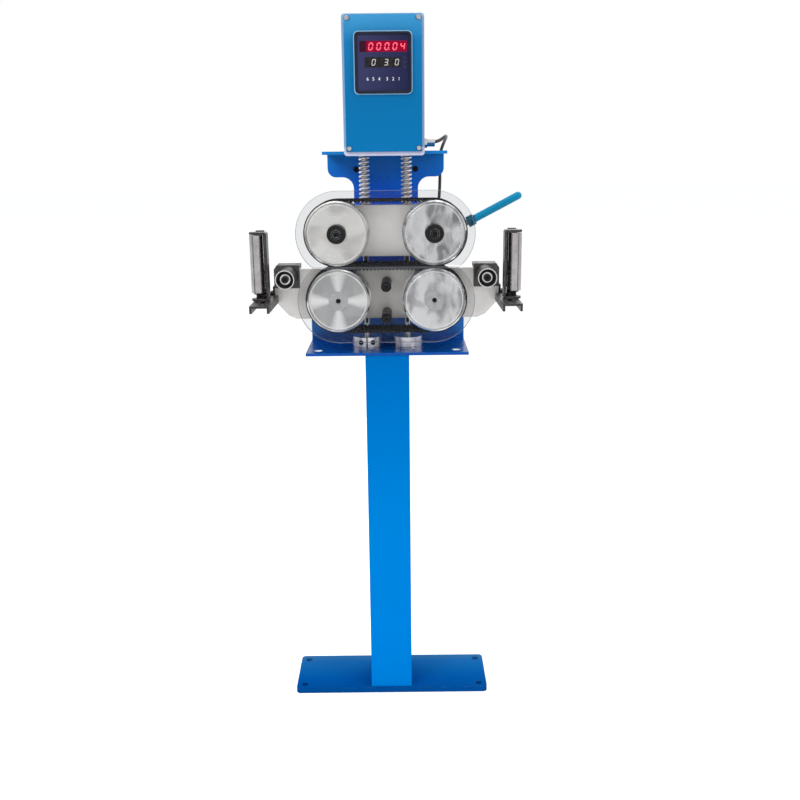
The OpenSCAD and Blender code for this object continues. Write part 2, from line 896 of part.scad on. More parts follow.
module guard_standoffs() {
    color([0.15, 0.15, 0.16]) for (z = [standoff_down, standoff_up]) difference() {
        rod_along_y(0, lower_z + z, standoff_r, guard_back_y, block_y);
        rod_along_y(0, lower_z + z, m6_r + fit, guard_back_y - cut, guard_back_y + standoff_thread);
    }
}

module socket_screw(x, z, face_y, l) {
    difference() {
        union() {
            rod_along_y(x, z, m6_head_r, face_y - m6_head_h, face_y);
            rod_along_y(x, z, m6_r, face_y - cut, face_y + l);
        }
        translate([x, face_y - m6_head_h / 2, z]) rotate([90, 0, 0])
            cylinder(r = m6_r, h = m6_head_h, $fn = 6);
    }
}

module guard_screws() {
    color([0.10, 0.10, 0.11]) {
        for (z = [standoff_down, standoff_up])
            socket_screw(0, lower_z + z, guard_y, standoff_thread);
        for (x = [-1, 1])
            socket_screw(x * level_x, level_z, level_y + level_washer_in, standoff_thread);
    }
}

// Encoder on the back plate and its coupling
module encoder() {
    color([0.20, 0.21, 0.23]) difference() {
        union() {
            rod_along_y(pulley_x, lower_z, encoder_r, back_y + frame_t, back_y + frame_t + encoder_l);
            rod_along_y(pulley_x, lower_z, encoder_boss_r, back_y, back_y + frame_t + cut);
            rod_along_y(pulley_x, lower_z, encoder_shaft_r, back_y - encoder_shaft_l, back_y + cut);
            rod_along_z(pulley_x, encoder_exit_y, encoder_exit_r, lower_z, encoder_exit_z);
        }
    }
}

module encoder_coupling() {
    y0 = back_y - encoder_shaft_l + coupling_end();
    color([0.60, 0.60, 0.62]) difference() {
        rod_along_y(pulley_x, lower_z, coupling_r, y0 - coupling_l, y0);
        rod_along_y(pulley_x, lower_z, nose_r + fit, y0 - coupling_l - cut, block_back_y + nose_l + cut);
        rod_along_y(pulley_x, lower_z, encoder_shaft_r + run, y0 - coupling_l, y0 + cut);
    }
}

function coupling_end() = encoder_shaft_l - coupling_short;

// Carriage
module carriage_block() {
    color([0.76, 0.75, 0.74]) difference() {
        along_y(block_y, block_t) translate([0, upper_z]) stadium(pulley_x, carriage_r);
        for (x = [-1, 1]) {
            rod_along_y(x * pulley_x, upper_z, journal_r + fit, block_y - cut, block_back_y + cut);
            rod_along_z(x * rod_x, rod_y, bushing_r + fit, upper_z - 2 * carriage_r,
                upper_z + 2 * carriage_r);
        }
        rod_along_y(pivot_x, follower_z, follower_r + fit, block_back_y - follower_seat,
            block_back_y + cut);
    }
}

module linear_bushings() {
    color([0.65, 0.66, 0.68]) both_sides() for (z = [-carriage_r, carriage_r - bushing_l]) difference() {
        rod_along_z(rod_x, rod_y, bushing_r, upper_z + z, upper_z + z + bushing_l);
        rod_along_z(rod_x, rod_y, rod_r + run, upper_z + z - cut, upper_z + z + bushing_l + cut);
    }
}

module upper_axles() {
    color([0.62, 0.63, 0.65]) for (x = [-1, 1]) {
        difference() {
            rod_along_y(x * pulley_x, upper_z, journal_r, guard_back_y,
                block_back_y + axle_nut_h);
            rod_along_y(x * pulley_x, upper_z, m8_r, guard_back_y - cut,
                guard_back_y + axle_bore_deep);
        }
        difference() {
            translate([x * pulley_x, block_back_y, upper_z]) rotate([-90, 0, 0])
                cylinder(r = axle_nut_r, h = axle_nut_h, $fn = 6);
            rod_along_y(x * pulley_x, upper_z, journal_r + fit, block_back_y - cut,
                block_back_y + axle_nut_h + cut);
        }
    }
}

module upper_bearings() {
    color([0.70, 0.71, 0.72])
        for (x = [-1, 1], y = [pulley_y + hub_t + bearing_float, pulley_back_y - bearing_w - bevel])
            ring_along_y(x * pulley_x, upper_z, bearing_r, journal_r + fit, y, y + bearing_w);
}

module axle_screws() {
    head_y = guard_y - washer_t;
    color([0.08, 0.08, 0.09]) for (x = [-1, 1]) {
        ring_along_y(x * pulley_x, upper_z, washer_r, m8_r + fit, head_y, guard_y);
        difference() {
            union() {
                rod_along_y(x * pulley_x, upper_z, axle_head_r, head_y - axle_head_h, head_y);
                rod_along_y(x * pulley_x, upper_z, m8_r - fit, head_y - cut,
                    guard_back_y + axle_bore_deep - cut);
            }
            translate([x * pulley_x, head_y - axle_head_h / 2, upper_z]) rotate([90, 0, 0])
                cylinder(r = m8_r, h = axle_head_h, $fn = 6);
        }
    }
}

module cam_follower() {
    color([0.70, 0.71, 0.72])
        rod_along_y(pivot_x, follower_z, follower_r, block_back_y - follower_seat,
            lever_hub_y - cam_collar_t / 2);
}

// Springs
function unit(v) = v / norm(v);
function heading(p, i) = i == 0 ? unit(p[1] - p[0])
    : i == len(p) - 1 ? unit(p[i] - p[i - 1])
    : unit(unit(p[i + 1] - p[i]) + unit(p[i] - p[i - 1]));
function square_to(n, t) = unit(n - (n * t) * t);
function normals(p, i, n) = i == len(p) ? []
    : let (m = square_to(n, heading(p, i))) concat([m], normals(p, i + 1, m));

// One unbroken tube along a list of points, with triangles for faces
module tube(p, r, sides, first) {
    n = normals(p, 0, first);
    points = [for (i = [0:len(p) - 1], k = [0:sides - 1])
        let (a = 360 * k / sides, t = heading(p, i))
            p[i] + r * (cos(a) * n[i] + sin(a) * cross(t, n[i]))];
    walls = [for (i = [0:len(p) - 2], k = [0:sides - 1], f = [0, 1])
        let (a = i * sides + k, b = i * sides + (k + 1) % sides)
            f == 0 ? [a, a + sides, b] : [b, a + sides, b + sides]];
    last = (len(p) - 1) * sides;
    ends = [for (k = [1:sides - 2], f = [0, 1])
        f == 0 ? [0, k, k + 1] : [last, last + k + 1, last + k]];
    polyhedron(points, concat(walls, ends));
}

function spring_path() = let (low = spring_z0 + spring_wire, high = top_z - spring_wire,
        steps = spring_coils * spring_rings)
    concat([[spring_r, 0, spring_z0]],
        [for (i = [0:steps]) [spring_r * cos(360 * i / spring_rings), spring_r * sin(360 * i / spring_rings),
            low + (high - low) * i / steps]],
        [[spring_r, 0, top_z]]);
function spring_least_gap() = let (p = spring_path(), n = len(p))
    min([for (i = [1:n - 2], j = [i + spring_rings - 2:n - 2]) if (j < n - 1) norm(p[i] - p[j])]) - spring_wire;
echo(spring_least_gap = spring_least_gap());

module spring(side) {
    color([0.72, 0.70, 0.68]) translate([side * rod_x, rod_y, 0])
        tube(spring_path(), spring_wire / 2, spring_sides, [1, 0, 0]);
}

// Lever and cam. The cam's rise is even, so the lift follows the lever's angle.
rise = lift / lever_sweep;
slope = rise * 180 / PI;
function pitch_r(a) = cam_r + follower_r + rise * max(0, a);
function cam_point(a, k) = let (r = pitch_r(a), s = sqrt(r * r + k * k),
        u = r - follower_r * r / s, w = follower_r * k / s, b = 90 + a)
    [u * cos(b) - w * sin(b), u * sin(b) + w * cos(b)];

module lift_cam() {
    top_a = lever_sweep + cam_over;
    step = 4;
    heel_steps = 5;
    flank = concat([[0, 0]], [for (a = [-2 * step, -step]) cam_point(a, 0)],
        [for (i = [0:heel_steps]) cam_point(0, slope * i / heel_steps)],
        [for (a = [step:step:top_a]) cam_point(a, slope)],
        [[cam_r * cos(90 + top_a + cam_drop), cam_r * sin(90 + top_a + cam_drop)]]);
    color([0.55, 0.56, 0.58]) difference() {
        union() {
            along_y(cam_y, cam_t) translate([pivot_x, pivot_z]) union() {
                circle(cam_r);
                polygon(flank);
            }
            rod_along_y(pivot_x, pivot_z, cam_collar_r, cam_y + cam_t - cut, lever_hub_y);
        }
        rod_along_y(pivot_x, pivot_z, pivot_r + run, cam_y - cut, lever_hub_y + cut);
    }
}

// Places a piece of the lever with its own X along the arm
module on_lever() {
    translate([pivot_x, lever_hub_y + lever_hub_t / 2, pivot_z]) rotate([0, -lever_angle, 0]) children();
}

module lever_arm() {
    color([0.35, 0.36, 0.38]) difference() {
        union() {
            rod_along_y(pivot_x, pivot_z, lever_hub_r, lever_hub_y, lever_hub_y + lever_hub_t);
            on_lever() rod_along_x(0, 0, lever_rod_r, 0, sleeve_at + sleeve_l + grip_seat);
        }
        rod_along_y(pivot_x, pivot_z, pivot_r + run, lever_hub_y - cut, lever_hub_y + lever_hub_t + cut);
    }
}

module lever_grip() {
    grip_r = grip_d / 2;
    color([0.0, 0.52, 0.70]) on_lever() difference() {
        union() {
            rod_along_x(0, 0, sleeve_r, sleeve_at, sleeve_at + sleeve_l);
            rod_along_x(0, 0, grip_r, sleeve_at, lever_len - grip_r);
            translate([lever_len - grip_r, 0, 0]) rotate([0, 90, 0]) rotate_extrude()
                intersection() {
                    circle(grip_r);
                    square(grip_r);
                }
        }
        rod_along_x(0, 0, lever_rod_r + fit, sleeve_at - cut, sleeve_at + sleeve_l + grip_seat);
    }
}

// Horizontal rollers
module level_roller() {
    color([0.13, 0.13, 0.14]) difference() {
        rod_along_y(level_x, level_z, level_r, level_y, level_y + level_l);
        rod_along_y(level_x, level_z, level_axle_r + run, level_y - cut, level_y + level_l + cut);
        rod_along_y(level_x, level_z, level_recess_r, level_y - cut, level_y + level_recess);
    }
}

module roller_axles() {
    face_y = level_y + level_washer_in;
    color([0.78, 0.78, 0.80]) both_sides() difference() {
        union() {
            rod_along_y(level_x, level_z, level_axle_r, face_y, block_back_y + cut);
            translate([level_x, block_back_y, level_z]) rotate([-90, 0, 0])
                cylinder(r = level_head_r, h = level_head_h, $fn = 6);
            rod_along_y(level_x, level_z, level_washer_r, face_y, face_y + level_washer_t);
        }
        rod_along_y(level_x, level_z, m6_r + fit, face_y - cut, face_y + standoff_thread);
    }
}

// Slotted bars at the ends of the lower block
bar_back_y = block_y - bar_joint;
bar_front_y = bar_back_y - bar_len;
front_roller_y = cable_plane_y - side_roller_gap / 2;
rear_roller_y = cable_plane_y + side_roller_gap / 2;

module guide_bars() {
    low = bar_top_z - bar_h;
    color([0.16, 0.16, 0.17]) both_sides() difference() {
        union() {
            block([bar_x, bar_front_y, low], [bar_x + bar_w, bar_back_y, bar_top_z]);
            block([lower_half, bar_back_y - bar_t, low], [lower_half + bar_t, block_back_y, bar_top_z]);
            block([lower_half, tab_y, low], [lower_half + bar_t, block_back_y, bar_top_z + tab_up]);
        }
        block([bar_x + bar_t, bar_front_y - cut, low - cut],
            [bar_x + bar_w - bar_t, bar_back_y - bar_t, bar_top_z - bar_t]);
        slot(front_roller_y - slide_out - pin_r - slot_spare, front_roller_y + slide_in + pin_r + slot_spare);
        rod_along_z(side_x, rear_roller_y, rivet_r + fit, low - cut, bar_top_z + cut);
        for (y = tab_screw_y) tab_screw(y);
    }
}

module slot(y0, y1) {
    r = slot_w / 2;
    block([bar_mid_x - r, y0 + r, bar_top_z - bar_h], [bar_mid_x + r, y1 - r, bar_top_z + cut]);
    for (y = [y0 + r, y1 - r]) rod_along_z(bar_mid_x, y, r, bar_top_z - bar_h, bar_top_z + cut);
}

// The side view of a bracket, its web's outer corners bent round
module bracket_side() {
    union() {
        translate([web_x, bracket_z + bracket_t])
            square([bracket_d, bracket_top_z - bracket_z - 2 * bracket_t]);
        translate([web_x + bracket_t, bracket_z])
            square([side_x + bracket_d - web_x, bracket_top_z - bracket_z]);
        for (z = [bracket_z + bracket_t, bracket_top_z - bracket_t])
            translate([web_x + bracket_t, z]) circle(bracket_t);
    }
}

module bracket(y) {
    half = bracket_d / 2;
    color([0.14, 0.14, 0.15]) difference() {
        intersection() {
            union() {
                block([web_x, y - half, bracket_z], [side_x, y + half, bracket_top_z]);
                rod_along_z(side_x, y, half, bracket_z, bracket_top_z);
            }
            along_y(y - bracket_d, 2 * bracket_d) bracket_side();
        }
        block([web_x + bracket_t, y - bracket_d, bracket_z + bracket_t],
            [side_x + bracket_d, y + bracket_d, bracket_top_z - bracket_t]);
        rod_along_z(side_x, y, pin_r + fit, bracket_z - cut, bracket_top_z + cut);
        rod_along_z(bar_mid_x, y, pin_r + fit, bracket_z - cut, bracket_z + bracket_t + cut);
    }
}

module side_roller(y) {
    color([0.72, 0.71, 0.71]) difference() {
        rod_along_z(side_x, y, side_r, roller_low_z, roller_low_z + side_roller_h);
        rod_along_z(side_x, y, pin_r + run, roller_low_z - cut, roller_low_z + side_roller_h + cut);
    }
}

// Roller pin with its collar, and the bolt that clamps the bracket to the bar
module roller_pin(y) {
    floor_z = bracket_z + bracket_t;
    nut_z = bar_top_z - bar_t - nut_gap;
    collar_z = roller_low_z - roller_float;
    color([0.50, 0.51, 0.53]) {
        rod_along_z(side_x, y, pin_r, bracket_z, bracket_top_z);
        rod_along_z(side_x, y, pin_collar_r, collar_z - pin_collar_t + cut, collar_z);
        rod_along_z(bar_mid_x, y, bolt_head_r, floor_z, floor_z + bolt_head_h);
        rod_along_z(bar_mid_x, y, pin_r, nut_z - bolt_nut_h, floor_z + bolt_head_h);
        hex_along_z(bar_mid_x, y, bolt_nut_r, nut_z - bolt_nut_h, nut_z);
    }
}

// A stud riveted through the bar carries the rear roller
module rear_stud() {
    head_z = roller_low_z + side_roller_h + roller_float;
    color([0.50, 0.51, 0.53]) {
        rod_along_z(side_x, rear_roller_y, rivet_r, bar_top_z - bar_t - rivet_over, bar_top_z + cut);
        rod_along_z(side_x, rear_roller_y, pin_collar_r, bar_top_z, roller_low_z - roller_float);
        rod_along_z(side_x, rear_roller_y, pin_r, roller_low_z - cut, head_z + cut);
        rod_along_z(side_x, rear_roller_y, pin_collar_r, head_z, head_z + stud_head_h);
    }
}

// Counter box
module box_plate(y0, t, low, top, out) {
    along_y(y0, t) translate([0, (box_floor_z - low + box_top_z + top) / 2])
        round_rect(box_w + 2 * out, box_h + low + top, box_corner_r);
}

module box_body() {
    front_y = lid_back_y() + gasket_t;
    inner_w = box_w - 2 * box_wall;
    color([0.02, 0.45, 0.66]) difference() {
        union() {
            box_plate(front_y, box_d, 0, 0, 0);
            box_plate(front_y, rim_t, rim_low, rim_top, rim_out);
        }
        block([-inner_w / 2, front_y - cut, box_floor_z + box_wall],
            [inner_w / 2, box_back_y - box_wall, box_top_z - box_wall]);
        rod_along_x(gland_y, box_floor_z + gland_up, gland_seat_r + fit, 0, box_w);
        for (x = [-1, 1])
            rod_along_z(x * box_screw_x, box_screw_y, m6_r + fit, box_floor_z - cut,
                box_floor_z + box_wall + cut);
    }
}

module box_gasket() {
    inner_w = box_w - 2 * box_wall;
    color([0.80, 0.79, 0.90]) difference() {
        box_plate(lid_back_y(), gasket_t, rim_low, rim_top, rim_out);
        block([-inner_w / 2, lid_back_y() - cut, box_floor_z + box_wall],
            [inner_w / 2, lid_back_y() + gasket_t + cut, box_top_z - box_wall]);
        lid_screw_places() screw_hole(lid_screw_shank + fit);
    }
}

lid_low_z = box_floor_z - rim_low + lid_low_in;
lid_high_z = box_top_z + rim_top - lid_top_in;

module lid_outline() {
    half = lid_w / 2;
    polygon([[-half, lid_low_z], [half, lid_low_z], [half, lid_high_z - lid_notch],
        [half - lid_notch, lid_high_z], [lid_notch - half, lid_high_z], [-half, lid_high_z - lid_notch]]);
    for (x = [-1, 1]) translate([x * (half - lid_screw_in), lid_high_z - lid_screw_in])
        circle(lid_screw_in);
}

module lid_screw_places() {
    for (x = [-1, 1], z = [lid_low_z + lid_screw_in, lid_high_z - lid_screw_in])
        translate([x * (lid_w / 2 - lid_screw_in), guard_back_y, z]) children();
}

// A round hole or shank along Y, from the lid's face inward
module screw_hole(r) {
    rotate([-90, 0, 0]) translate([0, 0, -cut]) cylinder(r = r, h = lid_t + gasket_t + 2 * cut);
}

module box_lid() {
    color([0.10, 0.50, 0.74]) difference() {
        along_y(guard_back_y, lid_t) lid_outline();
        along_y(guard_back_y - cut, lid_t + 2 * cut) translate([0, box_floor_z + counter_up])
            square(counter_body + 2 * fit, center = true);
        lid_screw_places() screw_hole(lid_screw_shank + fit);
    }
}

module lid_screws() {
    color([0.82, 0.82, 0.84]) lid_screw_places() rotate([-90, 0, 0]) {
        cylinder(r = lid_screw_shank, h = lid_t + gasket_t);
        translate([0, 0, -lid_screw_h]) cylinder(r1 = lid_screw_top_r, r2 = lid_screw_r, h = lid_screw_h);
    }
}

module counter_case() {
    face_y = guard_back_y - counter_proud;
    z = box_floor_z + counter_up;
    color([0.06, 0.06, 0.09]) difference() {
        union() {
            along_y(face_y, counter_proud) translate([0, z]) round_rect(counter_w, counter_h, counter_r);
            along_y(guard_back_y - cut, counter_body_d) translate([0, z])
                square(counter_body, center = true);
        }
        along_y(face_y - cut, counter_panel_deep + counter_panel_t + cut) translate([0, z])
            round_rect(counter_w - 2 * counter_wall, counter_h - 2 * counter_wall, counter_r - counter_wall);
    }
}

module counter_panel() {
    play = 2 * fit;
    color([0.20, 0.20, 0.36])
        along_y(guard_back_y - counter_proud + counter_panel_deep, counter_panel_t)
            translate([0, box_floor_z + counter_up])
                round_rect(counter_w - 2 * counter_wall - play, counter_h - 2 * counter_wall - play,
                    counter_r - counter_wall);
}

module cable_gland() {
    x0 = box_w / 2;
    z = box_floor_z + gland_up;
    color([0.75, 0.75, 0.77]) difference() {
        union() {
            rod_along_x(gland_y, z, gland_seat_r, x0 - 2 * box_wall, x0 + cut);
            translate([x0, gland_y, z]) rotate([0, 90, 0]) cylinder(r = gland_r, h = gland_nut_l, $fn = 6);
            rod_along_x(gland_y, z, gland_tail_r, x0 + gland_nut_l - cut, x0 + gland_l);
        }
        rod_along_x(gland_y, z, gland_bore_r, x0 - 2 * box_wall - cut, x0 + gland_l + cut);
    }
}

// Signal cable along its route, with points between the chosen ones on a smooth curve
function between(a, b, c, d, u) = ((2 * b) + (c - a) * u + (2 * a - 5 * b + 4 * c - d) * u * u
    + (3 * b - a - 3 * c + d) * u * u * u) / 2;
function smooth(p, steps) = concat(
    [for (i = [0:len(p) - 2], s = [0:steps - 1])
        between(p[max(0, i - 1)], p[i], p[i + 1], p[min(len(p) - 1, i + 2)], s / steps)],
    [p[len(p) - 1]]);

module signal_cable() {
    color([0.05, 0.05, 0.055])
        tube(smooth(cable_route, cable_steps), cable_d / 2, cable_sides, [0, 0, 1]);
}

module cable_clips() {
    y0 = back_y + frame_t;
    color([0.85, 0.85, 0.84]) for (p = clip_places) difference() {
        block([p[0] - clip_w / 2, y0, p[1] - clip_h / 2],
            [p[0] + clip_w / 2, clip_y + clip_over, p[1] + clip_h / 2]);
        rod_along_z(p[0], clip_y, cable_d / 2 + fit, p[1] - clip_h, p[1] + clip_h);
    }
}

base_plate();
post();
head_frame();
frame_bolts();
frame_screws();
guide_rods();
rod_clamps();
lower_block();
block_spacers();
roller_blocks();
lower_pulley(-pulley_x);  // lower_left_pulley
lower_pulley(pulley_x);  // lower_right_pulley
shaft(-pulley_x, 0);  // lower_left_shaft
shaft(pulley_x, nose_l);  // lower_right_shaft
lower_bearings();
belt(lower_z);  // lower_belt
lower_guard();
guard_standoffs();
guard_screws();
encoder();
encoder_coupling();
carriage_block();
linear_bushings();
upper_pulley(-pulley_x);  // upper_left_pulley
upper_pulley(pulley_x);  // upper_right_pulley
upper_axles();
upper_bearings();
belt(upper_z);  // upper_belt
upper_guard();
axle_screws();
cam_follower();
spring(-1);  // left_spring
spring(1);  // right_spring
lever_arm();
lever_grip();
lift_cam();
mirror([1, 0, 0]) level_roller();  // left_guide_roller
level_roller();  // right_guide_roller
roller_axles();
guide_bars();
mirror([1, 0, 0]) bracket(front_roller_y);  // left_front_bracket
bracket(front_roller_y);  // right_front_bracket
mirror([1, 0, 0]) side_roller(front_roller_y);  // left_front_roller
mirror([1, 0, 0]) side_roller(rear_roller_y);  // left_rear_roller
side_roller(front_roller_y);  // right_front_roller
side_roller(rear_roller_y);  // right_rear_roller
mirror([1, 0, 0]) roller_pin(front_roller_y);  // left_front_pin
roller_pin(front_roller_y);  // right_front_pin
both_sides() rear_stud();  // rear_pins
box_body();
box_gasket();
box_lid();
lid_screws();
counter_case();
counter_panel();
cable_gland();
signal_cable();
cable_clips();
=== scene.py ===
import math

import bmesh
import bpy
from mathutils import Matrix, Vector


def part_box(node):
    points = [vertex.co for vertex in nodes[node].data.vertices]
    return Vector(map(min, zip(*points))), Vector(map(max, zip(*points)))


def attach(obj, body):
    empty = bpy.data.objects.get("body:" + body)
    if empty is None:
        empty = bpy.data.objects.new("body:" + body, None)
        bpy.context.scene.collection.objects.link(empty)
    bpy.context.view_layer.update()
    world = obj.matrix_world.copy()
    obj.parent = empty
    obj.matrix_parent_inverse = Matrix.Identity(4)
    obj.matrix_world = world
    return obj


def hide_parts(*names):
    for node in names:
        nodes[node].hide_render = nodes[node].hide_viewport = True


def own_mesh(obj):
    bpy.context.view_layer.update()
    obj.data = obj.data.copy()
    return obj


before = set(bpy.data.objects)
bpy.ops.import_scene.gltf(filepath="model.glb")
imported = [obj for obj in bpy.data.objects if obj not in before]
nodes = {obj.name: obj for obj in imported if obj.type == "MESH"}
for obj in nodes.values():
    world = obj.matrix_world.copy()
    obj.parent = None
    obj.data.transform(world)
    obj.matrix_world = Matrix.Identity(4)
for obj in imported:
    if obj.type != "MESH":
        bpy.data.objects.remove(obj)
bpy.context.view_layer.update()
mm = 0.001
print("frame loaded:", len(nodes), "nodes")


cameraSetup = {"place": (0.017, -1.309, 0.786), "pitchDown": 14.5, "roll": 0.6, "lens": 41.85,
               "sensor": 36.0}


def makeCamera(setup):
    data = bpy.data.cameras.new("viewCamera")
    data.lens = setup["lens"]
    data.sensor_width = setup["sensor"]
    camera = bpy.data.objects.new("viewCamera", data)
    bpy.context.scene.collection.objects.link(camera)
    tilt = Matrix.Rotation(math.radians(90 - setup["pitchDown"]), 4, "X")
    roll = Matrix.Rotation(math.radians(-setup["roll"]), 4, "Z")
    camera.matrix_world = Matrix.Translation(setup["place"]) @ tilt @ roll
    bpy.context.scene.camera = camera


makeCamera(cameraSetup)
bpy.context.scene.view_settings.view_transform = "Standard"
print("camera placed")


def meshObject(name, bm):
    mesh = bpy.data.meshes.new(name)
    bmesh.ops.recalc_face_normals(bm, faces=bm.faces)
    bm.to_mesh(mesh)
    bm.free()
    obj = bpy.data.objects.new(name, mesh)
    bpy.context.scene.collection.objects.link(obj)
    return obj


def smoothShade(obj, angle=35):
    mesh = obj.data
    mesh.shade_smooth()
    mesh.set_sharp_from_angle(angle=math.radians(angle))


def dress(obj, material):
    obj.data.materials.clear()
    obj.data.materials.append(material)


def tubeAlong(bm, points, radius, sides, firstNormal):
    # one closed tube of round section along a line of points
    rings = []
    normal = Vector(firstNormal)
    count = len(points)
    for i, point in enumerate(points):
        before = points[max(i - 1, 0)]
        after = points[min(i + 1, count - 1)]
        heading = (after - before).normalized()
        normal = (normal - normal.dot(heading) * heading).normalized()
        side = heading.cross(normal)
        ring = []
        for k in range(sides):
            turn = 2 * math.pi * k / sides
            spoke = math.cos(turn) * normal + math.sin(turn) * side
            ring.append(bm.verts.new(point + radius * spoke))
        rings.append(ring)
    for a, b in zip(rings, rings[1:]):
        for k in range(sides):
            bm.faces.new((a[k], a[(k + 1) % sides], b[(k + 1) % sides], b[k]))
    bm.faces.new(list(reversed(rings[0])))
    bm.faces.new(rings[-1])


def prismXZ(bm, outline, front, depth):
    # a flat outline in X and Z, drawn out along Y
    near = [bm.verts.new((x, front, z)) for x, z in outline]
    far = [bm.verts.new((x, front + depth, z)) for x, z in outline]
    count = len(outline)
    bm.faces.new(near)
    bm.faces.new(list(reversed(far)))
    for k in range(count):
        bm.faces.new((near[k], far[k], far[(k + 1) % count], near[(k + 1) % count]))


def roundedBox(width, height, radius, steps=6):
    # outline of a rectangle with round corners about the origin
    outline = []
    for cornerX, cornerZ, start in ((1, 1, 0), (-1, 1, 90), (-1, -1, 180), (1, -1, 270)):
        for k in range(steps + 1):
            turn = math.radians(start + 90 * k / steps)
            x = cornerX * (width / 2 - radius) + radius * math.cos(turn)
            z = cornerZ * (height / 2 - radius) + radius * math.sin(turn)
            outline.append((x, z))
    return outline


def frameXZ(bm, outer, inner, centre, front, depth):
    # a flat frame between two outlines of the same number of points
    loops = []
    for outline, y in ((outer, front), (inner, front), (inner, front + depth), (outer, front + depth)):
        loops.append([bm.verts.new((centre[0] + x, y, centre[1] + z)) for x, z in outline])
    count = len(outer)
    for a, b in zip(loops, loops[1:] + loops[:1]):
        for k in range(count):
            bm.faces.new((a[k], a[(k + 1) % count], b[(k + 1) % count], b[k]))


softEdge = 0.3 * mm  # how far a painted border fades
flatness = {"edge": 0.80, "face": 0.985}  # how alike the rounded and the true normal are


class Finish:
    # a material with its shader and a few short ways to add nodes
    def __init__(self, name):
        self.material = bpy.data.materials.new(name)
        self.material.use_nodes = True
        self.tree = self.material.node_tree
        self.shader = self.tree.nodes["Principled BSDF"]
        self.place = self.node("ShaderNodeTexCoord").outputs["Object"]

    def node(self, kind, **settings):
        made = self.tree.nodes.new(kind)
        for key, value in settings.items():
            setattr(made, key, value)
        return made

    def join(self, source, target):
        self.tree.links.new(source, target)

    def put(self, socket, value):
        self.shader.inputs[socket].default_value = value

    def noise(self, scale, detail=3.0, rough=0.55, stretch=None, twist=0.0):
        made = self.node("ShaderNodeTexNoise")
        made.inputs["Scale"].default_value = scale
        made.inputs["Detail"].default_value = detail
        made.inputs["Roughness"].default_value = rough
        made.inputs["Distortion"].default_value = twist
        source = self.place
        if stretch:
            mapping = self.node("ShaderNodeMapping")
            mapping.inputs["Scale"].default_value = stretch
            self.join(source, mapping.inputs["Vector"])
            source = mapping.outputs["Vector"]
        self.join(source, made.inputs["Vector"])
        return made.outputs["Fac"]

    def spread(self, source, low, high, fromLow=0.3, fromHigh=0.7):
        made = self.node("ShaderNodeMapRange")
        made.inputs["From Min"].default_value = fromLow
        made.inputs["From Max"].default_value = fromHigh
        made.inputs["To Min"].default_value = low
        made.inputs["To Max"].default_value = high
        self.join(source, made.inputs["Value"])
        return made.outputs["Result"]

    def blend(self, share, first, second):
        made = self.node("ShaderNodeMix", data_type="RGBA")
        for value, number in ((share, 0), (first, 6), (second, 7)):
            socket = made.inputs[number]
            if isinstance(value, (tuple, list)):
                socket.default_value = (*value[:3], 1.0)
            elif isinstance(value, float):
                socket.default_value = value
            else:
                self.join(value, socket)
        return made.outputs[2]

    def parts(self, source=None):
        # the X, Y and Z of a vector, or of the place on the object
        split = self.node("ShaderNodeSeparateXYZ")
        self.join(self.place if source is None else source, split.inputs["Vector"])
        return split.outputs

    def along(self, stops, axis="Z"):
        # a tone that changes along an axis, from a few places and their colours
        place = self.parts()[axis]
        low, high = stops[0][0], stops[-1][0]
        made = self.node("ShaderNodeValToRGB")
        ramp = made.color_ramp
        for stop, colour in stops[1:-1]:
            ramp.elements.new((stop - low) / (high - low))
        for element, (stop, colour) in zip(ramp.elements, stops):
            element.color = (*colour, 1.0)
        self.join(self.spread(place, 0.0, 1.0, low, high), made.inputs["Fac"])
        return made.outputs["Color"]

    def nearAxis(self, centre, radius, plane="XY"):
        # 1 within a radius of an upright or level axis, in metres
        place = self.parts()
        squares = []
        for letter, middle in zip(plane, centre):
            away = self.sums("SUBTRACT", place[letter], float(middle))
            squares.append(self.sums("POWER", away, 2.0))
        reach = self.sums("SQRT", self.sums("ADD", squares[0], squares[1]), 0.0)
        return self.spread(reach, 1.0, 0.0, radius, radius + softEdge)

    def inFrontOf(self, y):
        # 1 for what lies nearer than y
        return self.spread(self.parts()["Y"], 1.0, 0.0, y, y + softEdge)

    def sums(self, operation, first, second):
        made = self.node("ShaderNodeMath", operation=operation)
        for value, socket in ((first, made.inputs[0]), (second, made.inputs[1])):
            if isinstance(value, (int, float)):
                socket.default_value = value
            else:
                self.join(value, socket)
        return made.outputs[0]

    def bump(self, height, strength, distance, edge=0.0):
        made = self.node("ShaderNodeBump")
        made.inputs["Strength"].default_value = strength
        made.inputs["Distance"].default_value = distance
        self.join(height, made.inputs["Height"])
        if edge > 0:
            rounded = self.node("ShaderNodeBevel", samples=4)
            rounded.inputs["Radius"].default_value = edge
            self.join(rounded.outputs["Normal"], made.inputs["Normal"])
        self.join(made.outputs["Normal"], self.shader.inputs["Normal"])

    def edgeMask(self, radius):
        # 1 near edges, from the difference between the rounded and the true normal
        rounded = self.node("ShaderNodeBevel", samples=4)
        rounded.inputs["Radius"].default_value = radius
        flat = self.node("ShaderNodeNewGeometry")
        dot = self.node("ShaderNodeVectorMath", operation="DOT_PRODUCT")
        self.join(rounded.outputs["Normal"], dot.inputs[0])
        self.join(flat.outputs["Normal"], dot.inputs[1])
        return self.spread(dot.outputs["Value"], 1.0, 0.0, flatness["edge"], flatness["face"])


